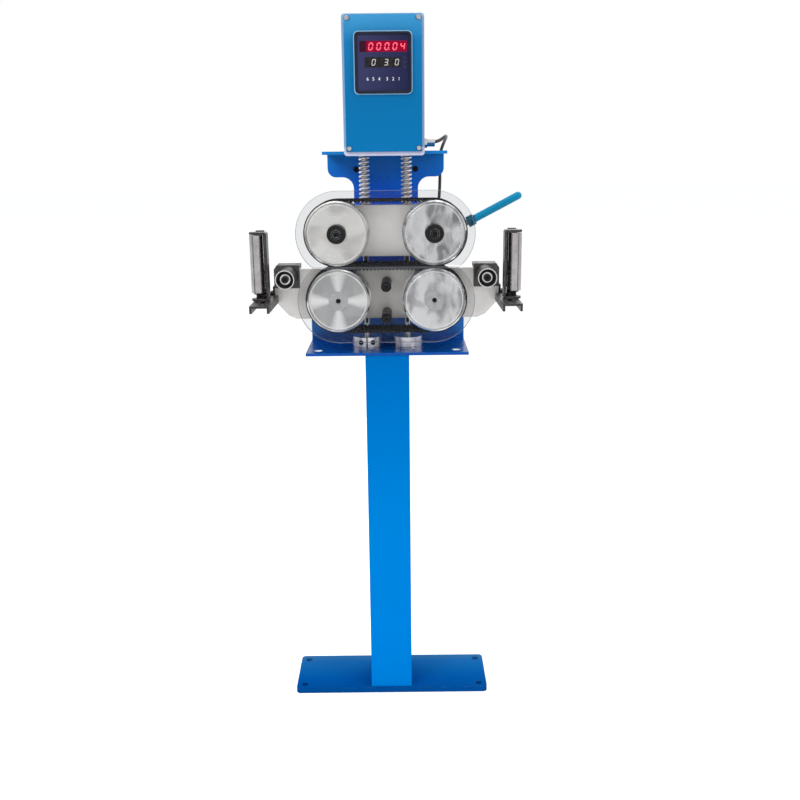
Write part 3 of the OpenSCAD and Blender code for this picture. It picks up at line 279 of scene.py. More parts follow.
def paintFinish(name, look):
    # paint whose tone follows its height, or the axis it is given, with painted light and shade in those
    # tones; a little uneven, worn at the edges
    f = Finish(name)
    cloud = f.spread(f.noise(look["cloud"]), 0.0, look["uneven"])
    tone = f.blend(cloud, f.along(look["stops"], look.get("axis", "Z")), look["second"])
    patches = f.spread(f.noise(160.0, 4.0), 0.0, look["wearAndHighlight"], 0.45, 0.7)
    tone = f.blend(f.sums("MULTIPLY", f.edgeMask(look["edge"]), patches), tone, look["wornAndHighlightTone"])
    # pale painted light where a bright backdrop shows through holes
    for hole in look.get("paintedHoleLight", ()):
        tone = f.blend(f.nearAxis(hole, look["paintedHoleLightReach"]), tone, look["bareTone"])
    f.join(tone, f.shader.inputs["Base Color"])
    gloss = f.spread(f.noise(look["cloud"] * 3), look["rough"] - 0.05, look["rough"] + 0.08)
    f.join(gloss, f.shader.inputs["Roughness"])
    f.put("Specular IOR Level", look["shine"])
    f.bump(f.noise(look["peel"], 2.0), look["peelStrength"], 0.0004, look["edge"])
    return f.material


def metalFinish(name, look):
    # bare metal, cloudy and with a fine grain
    f = Finish(name)
    cloud = f.spread(f.noise(look["cloud"], 4.0, 0.6), 0.0, 1.0, 0.35, 0.68)
    grain = f.noise(look["grain"], 3.0, 0.6, look.get("stretch"))
    tone = f.blend(cloud, look["colour"], look["second"])
    # near-black discs about given axes: painted shade
    for centre in look.get("darkCentres", ()):
        tone = f.blend(f.nearAxis(centre, look["darkReach"], "XZ"), tone, look["darkTone"])
    f.join(tone, f.shader.inputs["Base Color"])
    f.put("Metallic", 1.0)
    gloss = f.spread(cloud, look["rough"], look["rough"] + look["roughSpread"], 0.0, 1.0)
    f.join(f.sums("ADD", gloss, f.spread(grain, -0.04, 0.06)), f.shader.inputs["Roughness"])
    f.bump(grain, look["grainStrength"], 0.0002, look["edge"])
    return f.material


# the rim of a pulley: a bright line, which is a painted highlight, and a darker one outside it, each
# from where it starts to where it is full, and from where it fades to where it ends
pulleyRim = {"bright": (0.0370, 0.0375, 0.0386, 0.0391), "brightShare": 0.85,
             "brightTone": (0.98, 0.98, 0.98), "grime": (0.0391, 0.0400, 0.0405, 0.0415),
             "grimeShare": 0.6, "grimeTone": (0.20, 0.20, 0.20), "fansRound": 4.0}


def rimBand(f, reach, band, share):
    start, full, fade, end = band
    return f.sums("MULTIPLY", f.spread(reach, 0.0, share, start, full),
                  f.spread(reach, 1.0, 0.0, fade, end))


def turnedFinish(name, look):
    # metal turned on a lathe: rings about the axis at the given place, sheen across them; its bright
    # patches, fans and rim line are painted reflection, sheen and highlight
    f = Finish(name)
    shift = f.node("ShaderNodeVectorMath", operation="SUBTRACT")
    shift.inputs[1].default_value = (look["axis"][0], 0.0, look["axis"][1])
    f.join(f.place, shift.inputs[0])
    away = f.parts(shift.outputs["Vector"])
    across = f.sums("POWER", away["X"], 2.0)
    upward = f.sums("POWER", away["Z"], 2.0)
    reach = f.sums("SQRT", f.sums("ADD", across, upward), 0.0)
    rings = f.node("ShaderNodeTexNoise", noise_dimensions="1D")
    rings.inputs["Scale"].default_value = look["rings"]
    rings.inputs["Detail"].default_value = 2.0
    f.join(reach, rings.inputs["W"])
    smear, twist = look["smear"], look["twist"]
    cloud = f.spread(f.noise(look["cloud"], 1.5, 0.5, smear, twist), 0.0, 1.0, 0.42, 0.60)
    patch = f.spread(f.noise(look["cloud"] * 2.1, 1.0, 0.5, smear, twist), 0.0, 1.0, 0.44, 0.60)
    tone = f.blend(cloud, look["colour"], look["second"])
    # bright patches: painted reflection
    tone = f.blend(f.sums("MULTIPLY", patch, look["patches"]), tone, look["bright"])
    # bright fans about the axis: painted sheen
    spin = f.node("ShaderNodeMath", operation="ARCTAN2")
    f.join(away["Z"], spin.inputs[0])
    f.join(away["X"], spin.inputs[1])
    fans = f.sums("COSINE", f.sums("MULTIPLY", spin.outputs[0], pulleyRim["fansRound"]), 0.0)
    fanShare = f.sums("MULTIPLY", f.spread(fans, 0.0, 1.0, 0.1, 1.0), look["fans"])
    tone = f.blend(fanShare, tone, look["bright"])
    # bright rim line: painted highlight
    bright = rimBand(f, reach, pulleyRim["bright"], pulleyRim["brightShare"])
    tone = f.blend(bright, tone, pulleyRim["brightTone"])
    grime = rimBand(f, reach, pulleyRim["grime"], pulleyRim["grimeShare"])
    tone = f.blend(grime, tone, pulleyRim["grimeTone"])
    f.join(tone, f.shader.inputs["Base Color"])
    f.put("Metallic", 1.0)
    f.put("Anisotropic", look["sheen"])
    tangent = f.node("ShaderNodeTangent", direction_type="RADIAL", axis="Y")
    f.join(tangent.outputs["Tangent"], f.shader.inputs["Tangent"])
    gloss = f.spread(cloud, look["rough"], look["rough"] + look["roughSpread"], 0.0, 1.0)
    f.join(gloss, f.shader.inputs["Roughness"])
    f.bump(rings.outputs["Fac"], look["ringStrength"], 0.0001, look["edge"])
    return f.material


def rubberFinish(name, look):
    # matt rubber with small specks
    f = Finish(name)
    speck = f.noise(look["speck"], 3.0)
    tone = f.blend(f.spread(speck, 0.0, 1.0), look["colour"], look["second"])
    if "upperTone" in look:
        # another tone above the given height
        above = f.spread(f.parts()["Z"], 0.0, 1.0, look["upperFrom"], look["upperFrom"] + 2 * mm)
        tone = f.blend(above, tone, look["upperTone"])
    f.join(tone, f.shader.inputs["Base Color"])
    gloss = f.spread(f.noise(look["speck"] / 4), look["rough"], look["rough"] + 0.15)
    f.join(gloss, f.shader.inputs["Roughness"])
    f.put("Specular IOR Level", look["shine"])
    f.bump(speck, look["strength"], 0.0003, look["edge"])
    return f.material


def plasticFinish(name, look):
    # plastic or black oxide, scuffed along its edges; on the axle screws the bright edges are also a
    # painted highlight
    f = Finish(name)
    speck = f.noise(look["speck"], 3.0)
    tone = f.blend(f.spread(f.noise(look["speck"] / 20), 0.0, 1.0), look["colour"], look["second"])
    if "dark" in look:
        # a darker end, up to the given place along X
        end = f.spread(f.parts()["X"], 1.0, 0.0, look["darkEnd"], look["darkEnd"] + mm)
        tone = f.blend(end, tone, look["dark"])
    scuffsAndHighlight = f.spread(f.noise(120.0, 4.0), 0.0, look["wearAndHighlight"], 0.4, 0.7)
    tone = f.blend(f.sums("MULTIPLY", f.edgeMask(look["edge"]), scuffsAndHighlight), tone, look["wornAndHighlightTone"])
    if "bareFront" in look:
        tone = f.blend(f.inFrontOf(look["bareFront"]), tone, look["bareTone"])
    f.join(tone, f.shader.inputs["Base Color"])
    f.put("Specular IOR Level", look["shine"])
    f.join(f.spread(speck, look["rough"] - 0.04, look["rough"] + 0.08), f.shader.inputs["Roughness"])
    f.bump(speck, look["strength"], 0.0002, look["edge"])
    return f.material


def clearFinish(name, look):
    # clear sheet seen as a faint veil over its faces, brighter along its cut edges, where the paler
    # tones are a painted highlight
    f = Finish(name)
    normal = f.parts(f.node("ShaderNodeNewGeometry").outputs["True Normal"])
    rim = f.spread(f.sums("ABSOLUTE", normal["Y"], 0.0), 1.0, 0.0, 0.2, 0.8)
    cloud = f.spread(f.noise(look["cloud"], 3.0), 0.0, 1.0)
    line = f.edgeMask(look["line"])
    tone = f.blend(line, f.blend(cloud, look["colour"], look["second"]), look["lineColour"])
    f.join(f.blend(rim, tone, look["rimColour"]), f.shader.inputs["Base Color"])
    veil = f.sums("MAXIMUM", f.spread(rim, look["veil"], look["rimVeil"], 0.0, 1.0),
                  f.spread(line, look["veil"], look["lineVeil"], 0.0, 1.0))
    f.join(veil, f.shader.inputs["Alpha"])
    f.put("Roughness", look["rough"])
    f.put("IOR", look["ior"])
    f.put("Specular IOR Level", look["shine"])
    return f.material


paintLooks = {
    # the frame's tones along its height are painted light and shade
    "framePaint": {"stops": ((0.524, (0.001, 0.064, 0.32)), (0.545, (0.012, 0.225, 0.72)),
                             (0.60, (0.008, 0.190, 0.82)), (0.66, (0.0, 0.110, 0.78)),
                             (0.73, (0.0, 0.112, 0.82)), (0.79, (0.004, 0.205, 0.55))),
                   "second": (0.0, 0.060, 0.50), "uneven": 0.35, "cloud": 14.0, "rough": 0.26,
                   "shine": 0.14, "peel": 520.0, "peelStrength": 0.20, "edge": 0.0016, "wearAndHighlight": 0.55,
                   # pale discs at the two foot-flange holes: painted light, the bright backdrop seen
                   # through them
                   "wornAndHighlightTone": (0.10, 0.30, 0.72), "paintedHoleLight": ((-0.097, -0.027), (0.097, -0.027)),
                   "paintedHoleLightReach": 0.0062, "bareTone": (0.80, 0.84, 0.88)},
    # the post darkens towards its top: painted shade under the head
    "postPaint": {"stops": ((0.10, (0.0, 0.212, 0.68)), (0.30, (0.0, 0.205, 0.63)),
                            (0.52, (0.0, 0.140, 0.46))), "second": (0.0, 0.150, 0.50), "uneven": 0.25,
                  "cloud": 6.0, "rough": 0.42, "shine": 0.0, "peel": 420.0, "peelStrength": 0.12,
                  "edge": 0.0015, "wearAndHighlight": 0.25, "wornAndHighlightTone": (0.10, 0.33, 0.75)},
    # the base plate lightens towards its back: painted reflection
    "footPaint": {"axis": "Y",
                  "stops": ((-0.048, (0.0, 0.066, 0.28)), (-0.020, (0.0, 0.084, 0.33)),
                            (0.005, (0.004, 0.115, 0.36)), (0.030, (0.012, 0.140, 0.40)),
                            (0.048, (0.045, 0.175, 0.36))), "second": (0.004, 0.095, 0.32),
                  "uneven": 0.3, "cloud": 10.0, "rough": 0.40, "shine": 0.0, "peel": 420.0,
                  "peelStrength": 0.15, "edge": 0.0014, "wearAndHighlight": 0.5, "wornAndHighlightTone": (0.12, 0.30, 0.60)},
    # the box lightens towards its top: painted reflection
    "boxPaint": {"stops": ((0.79, (0.0, 0.150, 0.38)), (0.86, (0.0, 0.142, 0.35)),
                           (0.93, (0.006, 0.165, 0.39)), (0.966, (0.055, 0.300, 0.56))),
                 "second": (0.004, 0.140, 0.37), "uneven": 0.25, "cloud": 9.0, "rough": 0.40,
                 "shine": 0.08, "peel": 700.0, "peelStrength": 0.12, "edge": 0.0010, "wearAndHighlight": 0.25,
                 "wornAndHighlightTone": (0.25, 0.45, 0.62)},
    "bracketPaint": {"stops": ((0.58, (0.030, 0.028, 0.030)), (0.70, (0.026, 0.025, 0.027))),
                     "second": (0.055, 0.050, 0.050), "uneven": 1.0, "cloud": 60.0, "rough": 0.30,
                     "shine": 0.12, "peel": 500.0, "peelStrength": 0.15, "edge": 0.0010, "wearAndHighlight": 0.9,
                     "wornAndHighlightTone": (0.42, 0.40, 0.40)},
    "encoderPaint": {"stops": ((0.58, (0.030, 0.032, 0.038)), (0.63, (0.034, 0.036, 0.042))),
                     "second": (0.045, 0.047, 0.053), "uneven": 1.0, "cloud": 40.0, "rough": 0.42,
                     "shine": 0.35, "peel": 800.0, "peelStrength": 0.15, "edge": 0.0008, "wearAndHighlight": 0.4,
                     "wornAndHighlightTone": (0.30, 0.30, 0.31)},
}
metalLooks = {
    "greyAluminium": {"colour": (0.96, 0.94, 0.92), "second": (0.90, 0.88, 0.86), "cloud": 22.0,
                      "grain": 900.0, "stretch": (0.06, 1.0, 1.0), "rough": 0.36, "roughSpread": 0.10,
                      "grainStrength": 0.10, "edge": 0.0007},
    "lowerAluminium": {"colour": (0.61, 0.595, 0.58), "second": (0.53, 0.515, 0.50), "cloud": 22.0,
                       "grain": 900.0, "stretch": (0.06, 1.0, 1.0), "rough": 0.36, "roughSpread": 0.10,
                       "grainStrength": 0.10, "edge": 0.0007},
    "bareAluminium": {"colour": (0.97, 0.96, 0.97), "second": (0.90, 0.89, 0.90), "cloud": 60.0,
                      "grain": 1200.0, "rough": 0.24, "roughSpread": 0.12, "grainStrength": 0.10,
                      "edge": 0.0006},
    "shaftEnds": {"colour": (0.62, 0.62, 0.63), "second": (0.42, 0.42, 0.43), "cloud": 120.0,
                  "grain": 1500.0, "rough": 0.24, "roughSpread": 0.12, "grainStrength": 0.08,
                  # near-black discs at the middle of the lower shaft ends: painted shade
                  "edge": 0.0005, "darkCentres": ((-0.0652, 0.6011), (0.0652, 0.6011)),
                  "darkReach": 0.0031, "darkTone": (0.006, 0.006, 0.006)},
    "shaftSteel": {"colour": (0.46, 0.46, 0.47), "second": (0.34, 0.34, 0.35), "cloud": 120.0,
                   "grain": 1500.0, "rough": 0.24, "roughSpread": 0.12, "grainStrength": 0.08,
                   "edge": 0.0005},
    # the guide rods are a darker copy of the axle chrome: painted shade behind the springs
    "shadedRodChrome": {"colour": (0.40, 0.39, 0.40), "second": (0.30, 0.29, 0.30), "cloud": 60.0,
                  "grain": 900.0, "rough": 0.08, "roughSpread": 0.05, "grainStrength": 0.03,
                  "edge": 0.0004},
    "bareChrome": {"colour": (0.58, 0.58, 0.59), "second": (0.42, 0.42, 0.44), "cloud": 60.0,
                   "grain": 900.0, "rough": 0.12, "roughSpread": 0.05, "grainStrength": 0.03,
                   "edge": 0.0004},
    "rollerSteel": {"colour": (0.46, 0.44, 0.44), "second": (0.32, 0.30, 0.30), "cloud": 70.0,
                    "grain": 700.0, "stretch": (1.0, 1.0, 0.05), "rough": 0.16, "roughSpread": 0.10,
                    "grainStrength": 0.10, "edge": 0.0006},
    "zincSteel": {"colour": (0.60, 0.60, 0.61), "second": (0.48, 0.47, 0.46), "cloud": 180.0,
                  "grain": 1500.0, "rough": 0.26, "roughSpread": 0.14, "grainStrength": 0.08,
                  "edge": 0.0005},
    "nickelFinish": {"colour": (0.70, 0.69, 0.67), "second": (0.58, 0.57, 0.55), "cloud": 120.0,
                     "grain": 1200.0, "rough": 0.18, "roughSpread": 0.10, "grainStrength": 0.05,
                     "edge": 0.0005},
    "springWire": {"colour": (0.84, 0.80, 0.80), "second": (0.60, 0.56, 0.56), "cloud": 240.0,
                   "grain": 1800.0, "rough": 0.34, "roughSpread": 0.10, "grainStrength": 0.06,
                   "edge": 0.0003},
    "leverSteel": {"colour": (0.30, 0.31, 0.33), "second": (0.22, 0.22, 0.24), "cloud": 90.0,
                   "grain": 900.0, "rough": 0.30, "roughSpread": 0.12, "grainStrength": 0.10,
                   "edge": 0.0006},
}
rubberLooks = {
    "beltRubber": {"colour": (0.012, 0.012, 0.013), "second": (0.026, 0.025, 0.027), "speck": 900.0,
                   "rough": 0.52, "shine": 0.0, "strength": 0.25, "edge": 0.0004},
    "cableJacket": {"colour": (0.010, 0.010, 0.011), "second": (0.018, 0.018, 0.019), "speck": 700.0,
                    "rough": 0.36, "shine": 0.5, "strength": 0.08, "edge": 0.0003},
    "sealRubber": {"colour": (0.62, 0.62, 0.76), "second": (0.54, 0.54, 0.70), "speck": 300.0,
                   "rough": 0.55, "shine": 0.3, "strength": 0.12, "edge": 0.0006, "upperFrom": 0.801,
                   "upperTone": (0.26, 0.42, 0.62)},
}
plasticLooks = {
    "blackScrew": {"shine": 0.10, "colour": (0.009, 0.009, 0.010), "second": (0.018, 0.017, 0.017),
                   "speck": 900.0, "rough": 0.32, "strength": 0.10, "edge": 0.0005, "wearAndHighlight": 0.6,
                   "wornAndHighlightTone": (0.30, 0.29, 0.29)},
    # the axle screws' bright edges are partly wear and partly a painted highlight ring
    "headScrew": {"shine": 0.12, "colour": (0.010, 0.010, 0.011), "second": (0.020, 0.019, 0.019),
                  "speck": 900.0, "rough": 0.30, "strength": 0.10, "edge": 0.0008, "wearAndHighlight": 2.2,
                  "wornAndHighlightTone": (0.52, 0.52, 0.53)},
    "blackBlock": {"shine": 0.1, "colour": (0.105, 0.100, 0.100), "second": (0.170, 0.162, 0.160),
                   "speck": 500.0, "rough": 0.38, "strength": 0.15, "edge": 0.0008, "wearAndHighlight": 0.7,
                   "wornAndHighlightTone": (0.34, 0.32, 0.30)},
    "rollerBlack": {"shine": 0.02, "colour": (0.024, 0.022, 0.022), "second": (0.040, 0.037, 0.036),
                    "speck": 600.0, "rough": 0.30, "strength": 0.10, "edge": 0.0008, "wearAndHighlight": 1.2,
                    "wornAndHighlightTone": (0.50, 0.49, 0.48), "bareFront": -0.0537, "bareTone": (0.62, 0.61, 0.60)},
    "counterPlastic": {"shine": 0.15, "colour": (0.008, 0.009, 0.020), "second": (0.014, 0.015, 0.030),
                       "speck": 700.0, "rough": 0.34, "strength": 0.10, "edge": 0.0010, "wearAndHighlight": 0.3,
                       "wornAndHighlightTone": (0.16, 0.18, 0.26)},
    "gripPlastic": {"shine": 0.15, "colour": (0.0, 0.235, 0.42), "second": (0.0, 0.205, 0.375),
                    "speck": 500.0, "rough": 0.34, "strength": 0.08, "edge": 0.0010, "wearAndHighlight": 0.2,
                    "wornAndHighlightTone": (0.20, 0.45, 0.60), "dark": (0.0, 0.075, 0.13), "darkEnd": 0.126},
    "clipPlastic": {"shine": 0.3, "colour": (0.64, 0.64, 0.62), "second": (0.56, 0.56, 0.55),
                    "speck": 500.0, "rough": 0.40, "strength": 0.06, "edge": 0.0006, "wearAndHighlight": 0.1,
                    "wornAndHighlightTone": (0.7, 0.7, 0.7)},
}
# rimColour and lineColour are painted highlight on the sheet's cut edges
clearLook = {"colour": (0.030, 0.032, 0.035), "second": (0.050, 0.052, 0.056), "cloud": 25.0,
             "rimColour": (0.16, 0.17, 0.19), "veil": 0.12, "rimVeil": 0.85, "rough": 0.05,
             "shine": 0.2, "ior": 1.49, "line": 0.0018, "lineVeil": 0.72,
             "lineColour": (0.26, 0.28, 0.31)}
# the cloudy tones, bright patches and fans of these looks are painted reflection and sheen
turnedLooks = {
    "plainTurned": {"smear": (1.0, 1.0, 1.0), "colour": (0.50, 0.50, 0.50),
                    "second": (0.42, 0.42, 0.42), "bright": (0.99, 0.99, 0.99), "cloud": 25.0,
                    "twist": 0.3, "patches": 0.06, "fans": 0.95, "rings": 2500.0, "sheen": 0.75,
                    "rough": 0.22, "roughSpread": 0.06, "ringStrength": 0.20, "edge": 0.0007},
    "mottledReflectionTurned": {"smear": (1.0, 1.0, 0.55), "colour": (0.80, 0.80, 0.81),
                      "second": (0.27, 0.27, 0.28), "bright": (0.95, 0.95, 0.96), "cloud": 34.0,
                      "twist": 0.5, "patches": 0.70, "fans": 0.10, "rings": 2500.0, "sheen": 0.35,
                      "rough": 0.16, "roughSpread": 0.18, "ringStrength": 0.10, "edge": 0.0007},
    "warmTurned": {"smear": (0.6, 1.0, 1.0), "colour": (0.90, 0.88, 0.85), "second": (0.62, 0.61, 0.59),
                   "bright": (0.97, 0.96, 0.94), "cloud": 24.0, "twist": 0.5, "patches": 0.60,
                   "fans": 0.05, "rings": 2500.0, "sheen": 0.30, "rough": 0.24, "roughSpread": 0.16,
                   "ringStrength": 0.10, "edge": 0.0007},
}

finishes = {}
for name, look in paintLooks.items():
    finishes[name] = paintFinish(name, look)
for name, look in metalLooks.items():
    finishes[name] = metalFinish(name, look)
for name, look in rubberLooks.items():
    finishes[name] = rubberFinish(name, look)
for name, look in plasticLooks.items():
    finishes[name] = plasticFinish(name, look)
finishes["clearSheet"] = clearFinish("clearSheet", clearLook)


# the film's lighter left side is painted light
filmLook = {"half": 0.033, "right": (0.009, 0.011, 0.045), "left": (0.034, 0.036, 0.098),
            "fleck": (0.05, 0.05, 0.13), "fleckShare": 0.25, "rough": 0.30, "shine": 0.08}


def panelFilm(look):
    # printed film, dark violet grey, lighter to the left as painted light
    f = Finish("panelFilm")
    across = f.spread(f.parts()["X"], 1.0, 0.0, -look["half"], look["half"])
    tone = f.blend(across, look["right"], look["left"])
    speck = f.noise(900.0, 3.0)
    tone = f.blend(f.spread(speck, 0.0, look["fleckShare"]), tone, look["fleck"])
    f.join(tone, f.shader.inputs["Base Color"])
    f.put("Roughness", look["rough"])
    f.put("Specular IOR Level", look["shine"])
    f.bump(speck, 0.06, 0.0001, 0.0004)
    return f.material


finishes["panelFilm"] = panelFilm(filmLook)

wears = {
    "framePaint": ["head_frame"],
    "postPaint": ["post"],
    "footPaint": ["base_plate"],
    "boxPaint": ["box_body", "box_lid"],
    "bracketPaint": ["guide_bars", "left_front_bracket", "right_front_bracket"],
    "encoderPaint": ["encoder"],
    "greyAluminium": ["carriage_block"],
    "lowerAluminium": ["lower_block"],
    "bareAluminium": ["rod_clamps", "encoder_coupling"],
    "shaftEnds": ["lower_left_shaft", "lower_right_shaft"],
    "shaftSteel": ["lid_screws", "lower_bearings", "linear_bushings", "upper_axles", "upper_bearings",
                   "cam_follower", "lift_cam"],
    "shadedRodChrome": ["guide_rods"],
    "bareChrome": ["roller_axles"],
    "rollerSteel": ["left_front_roller", "left_rear_roller", "right_front_roller", "right_rear_roller"],
    "zincSteel": ["frame_bolts", "block_spacers"],
    "nickelFinish": ["cable_gland"],
    "springWire": ["left_spring", "right_spring"],
    "leverSteel": ["lever_arm"],
    "beltRubber": ["upper_belt", "lower_belt"],
    "cableJacket": ["signal_cable"],
    "sealRubber": ["box_gasket"],
    "headScrew": ["axle_screws"],
    "blackScrew": ["frame_screws", "guard_standoffs", "guard_screws", "left_front_pin",
                   "right_front_pin", "rear_pins"],
    "blackBlock": ["roller_blocks"],
    "rollerBlack": ["left_guide_roller", "right_guide_roller"],
    "counterPlastic": ["counter_case"],
    "gripPlastic": ["lever_grip"],
    "clipPlastic": ["cable_clips"],
    "clearSheet": ["lower_guard", "upper_guard"],
    "panelFilm": ["counter_panel"],
}
for name, members in wears.items():
    for member in members:
        dress(nodes[member], finishes[name])

pulleyLooks = {"upper_left_pulley": "warmTurned", "upper_right_pulley": "mottledReflectionTurned",
               "lower_left_pulley": "plainTurned", "lower_right_pulley": "mottledReflectionTurned"}
for node, look in pulleyLooks.items():
    low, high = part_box(node)
    axis = ((low.x + high.x) / 2, (low.z + high.z) / 2)
    dress(nodes[node], turnedFinish(look + "_" + node, dict(turnedLooks[look], axis=axis)))
bare = [name for name, node in nodes.items() if not node.data.materials]
print("finishes set, bare nodes:", bare)


springSetup = {"wire": 3.7 * mm, "inside": 4.1 * mm, "coils": 10, "closed": 0.75, "closedPitch": 1.02,
               "sides": 12, "stepsPerTurn": 40, "lift": 20 * mm}


def makeSpring(name, node):
    # a coil with closed ends in the place of the source's spring
    low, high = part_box(node)
    wire = springSetup["wire"]
    centre = Vector(((low.x + high.x) / 2, (low.y + high.y) / 2, 0))
    radius = springSetup["inside"] + wire / 2
    bottom = low.z + wire / 2
    top = high.z - wire / 2
    turns = springSetup["coils"] + 2 * springSetup["closed"]
    steps = int(turns * springSetup["stepsPerTurn"])
    closed = springSetup["closed"]
    closedRise = wire * springSetup["closedPitch"] * closed
    points = []
    for i in range(steps + 1):
        turn = turns * i / steps
        if turn < closed:
            z = bottom + closedRise * turn / closed
        elif turn > turns - closed:
            z = top - closedRise * (turns - turn) / closed
        else:
            share = (turn - closed) / (turns - 2 * closed)
            z = bottom + closedRise + (top - bottom - 2 * closedRise) * share
        angle = 2 * math.pi * turn
        points.append(centre + Vector((radius * math.cos(angle), radius * math.sin(angle), z)))
    bm = bmesh.new()
    tubeAlong(bm, points, wire / 2, springSetup["sides"], (1, 0, 0))
    obj = meshObject(name, bm)
    smoothShade(obj, 60)
    dress(obj, finishes["springWire"])
    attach(obj, "frame")
    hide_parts(node)
    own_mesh(obj)


makeSpring("leftCoil", "left_spring")
makeSpring("rightCoil", "right_spring")
print("springs made")


cableSetup = {
    "diameter": 4.5, "sides": 16, "steps": 5,
    "route": [(62, 5, 809), (68, 5, 809), (75, 8, 811), (81, 16, 815), (84, 28, 817), (85, 42, 815),
              (83, 56, 809), (80, 67, 800), (78, 72, 790), (78, 72, 778), (78, 72, 760), (77, 72, 735),
              (74, 72, 712), (71, 72, 697), (70, 72, 688), (70, 72, 680), (69, 73, 668), (67, 78, 655),
              (65, 83, 643), (65, 84, 636), (65, 84, 630)],
}


def smoothLine(route, steps):
    # a smooth line through every point of the route
    line = []
    last = len(route) - 1
    for i in range(last):
        a, b, c, d = route[max(i - 1, 0)], route[i], route[i + 1], route[min(i + 2, last)]
        for k in range(steps):
            t = k / steps
            line.append(0.5 * (2 * b + (c - a) * t + (2 * a - 5 * b + 4 * c - d) * t ** 2
                               + (3 * b - a - 3 * c + d) * t ** 3))
    line.append(route[last])
    return line


def makeCable():
    line = smoothLine([Vector(point) * mm for point in cableSetup["route"]], cableSetup["steps"])
    bm = bmesh.new()
    tubeAlong(bm, line, cableSetup["diameter"] * mm / 2, cableSetup["sides"], (0, 1, 0))
    obj = meshObject("signalLead", bm)
    smoothShade(obj, 60)
    dress(obj, finishes["cableJacket"])
    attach(obj, "frame")
    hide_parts("signal_cable")


makeCable()
print("signal cable made")


# places on the counter's front in X and Z, in millimetres
counterSetup = {
    "centreZ": 905.0, "windowProud": 0.12, "windowCorner": 0.7, "digitProud": 0.22, "slope": 0.16,
    "redWindow": (-29.6, 30.3, 917.9, 931.0), "paleWindow": (-23.3, 22.4, 899.3, 911.6),
    "litDigits": "000.04", "litAt": (-15.3, -5.1, 5.1, 15.3, 25.0), "litSize": (6.0, 9.2), "litZ": 924.4,
    "litHalfLine": 0.713, "litTone": (1.0, 0.10, 0.15), "litGlow": 0.55,
    "setDigits": "03.0", "setAt": (-11.9, 4.0, 17.6), "setSize": (4.6, 7.6), "setZ": 905.4,
    "setHalfLine": 0.391, "setTone": (0.62, 0.62, 0.60), "setGlow": 0.15,
    "numbers": "654321", "numberAt": (-19.9, -12.5, -5.2, 5.0, 12.6, 20.1), "numberZ": 885.6,
    "numberHigh": 4.0, "numberType": 1.42, "numberProud": 0.04, "numberTone": (0.80, 0.80, 0.86),
    "lampAt": ((27.4, 911.2), (27.4, 905.4), (27.4, 899.8)), "lampSize": 1.1,
    "lampTone": (0.020, 0.020, 0.040),
}
windowLooks = {
    "redWindow": {"edge": -20.8, "dark": (0.030, 0.004, 0.014), "lit": (0.26, 0.0, 0.022),
                  "second": (0.16, 0.0, 0.016), "glow": 0.30},
    "paleWindow": {"edge": -200.0, "dark": (0.02, 0.02, 0.02), "lit": (0.012, 0.010, 0.013),
                   "second": (0.026, 0.022, 0.024), "glow": 0.1},
}
segmentsOf = {"0": "abcdef", "3": "abgcd", "4": "fgbc"}


glowLook = {"speck": 1400.0, "darker": 0.86, "rough": 0.35}
windowGloss = {"cloud": 260.0, "rough": 0.18, "shine": 0.06, "before": 1.5, "after": 1.0}


def glowFinish(name, colour, glow, rough=glowLook["rough"]):
    # a print or a light of one colour, a little uneven
    f = Finish(name)
    speck = f.noise(glowLook["speck"], 2.0)
    darker = tuple(c * glowLook["darker"] for c in colour)
    tone = f.blend(f.spread(speck, 0.0, 1.0), colour, darker)
    f.join(tone, f.shader.inputs["Base Color"])
    f.join(tone, f.shader.inputs["Emission Color"])
    f.put("Emission Strength", glow)
    f.put("Roughness", rough)
    return f.material


def windowFinish(name, look):
    # tinted window, dark up to the first lit place and glowing after it
    f = Finish(name)
    start = (look["edge"] - windowGloss["before"]) * mm
    full = (look["edge"] + windowGloss["after"]) * mm
    lit = f.spread(f.parts()["X"], 0.0, 1.0, start, full)
    cloud = f.spread(f.noise(windowGloss["cloud"], 2.0), 0.0, 1.0)
    tone = f.blend(lit, look["dark"], f.blend(cloud, look["lit"], look["second"]))
    f.join(tone, f.shader.inputs["Base Color"])
    f.join(tone, f.shader.inputs["Emission Color"])
    f.put("Emission Strength", look["glow"])
    f.put("Roughness", windowGloss["rough"])
    f.put("Specular IOR Level", windowGloss["shine"])
    return f.material


def bar(a, b, half):
    # six-sided bar between two points in X and Z
    ax, az = a
    bx, bz = b
    length = math.hypot(bx - ax, bz - az)
    dx, dz = (bx - ax) / length, (bz - az) / length
    nx, nz = -dz * half, dx * half
    gap = half * 0.25
    tipA = (ax + dx * gap, az + dz * gap)
    tipB = (bx - dx * gap, bz - dz * gap)
    inA = (ax + dx * (gap + half), az + dz * (gap + half))
    inB = (bx - dx * (gap + half), bz - dz * (gap + half))
    lower = [(inA[0] - nx, inA[1] - nz), (inB[0] - nx, inB[1] - nz)]
    upper = [(inB[0] + nx, inB[1] + nz), (inA[0] + nx, inA[1] + nz)]
    return [tipA, *lower, tipB, *upper]


def drawDigit(bm, digit, centreX, centreZ, size, half, front, depth):
    w, h = size[0] / 2 - half, size[1] / 2 - half
    corners = {"tl": (-w, h), "tr": (w, h), "ml": (-w, 0), "mr": (w, 0), "bl": (-w, -h), "br": (w, -h)}
    ends = {"a": ("tl", "tr"), "b": ("tr", "mr"), "c": ("mr", "br"), "d": ("bl", "br"),
            "e": ("bl", "ml"), "f": ("ml", "tl"), "g": ("ml", "mr")}
    slope = counterSetup["slope"]
    for letter in segmentsOf[digit]:
        first, second = ends[letter]
        outline = bar(corners[first], corners[second], half)
        leaned = [((centreX + x + z * slope) * mm, (centreZ + z) * mm) for x, z in outline]
        prismXZ(bm, leaned, front, depth)


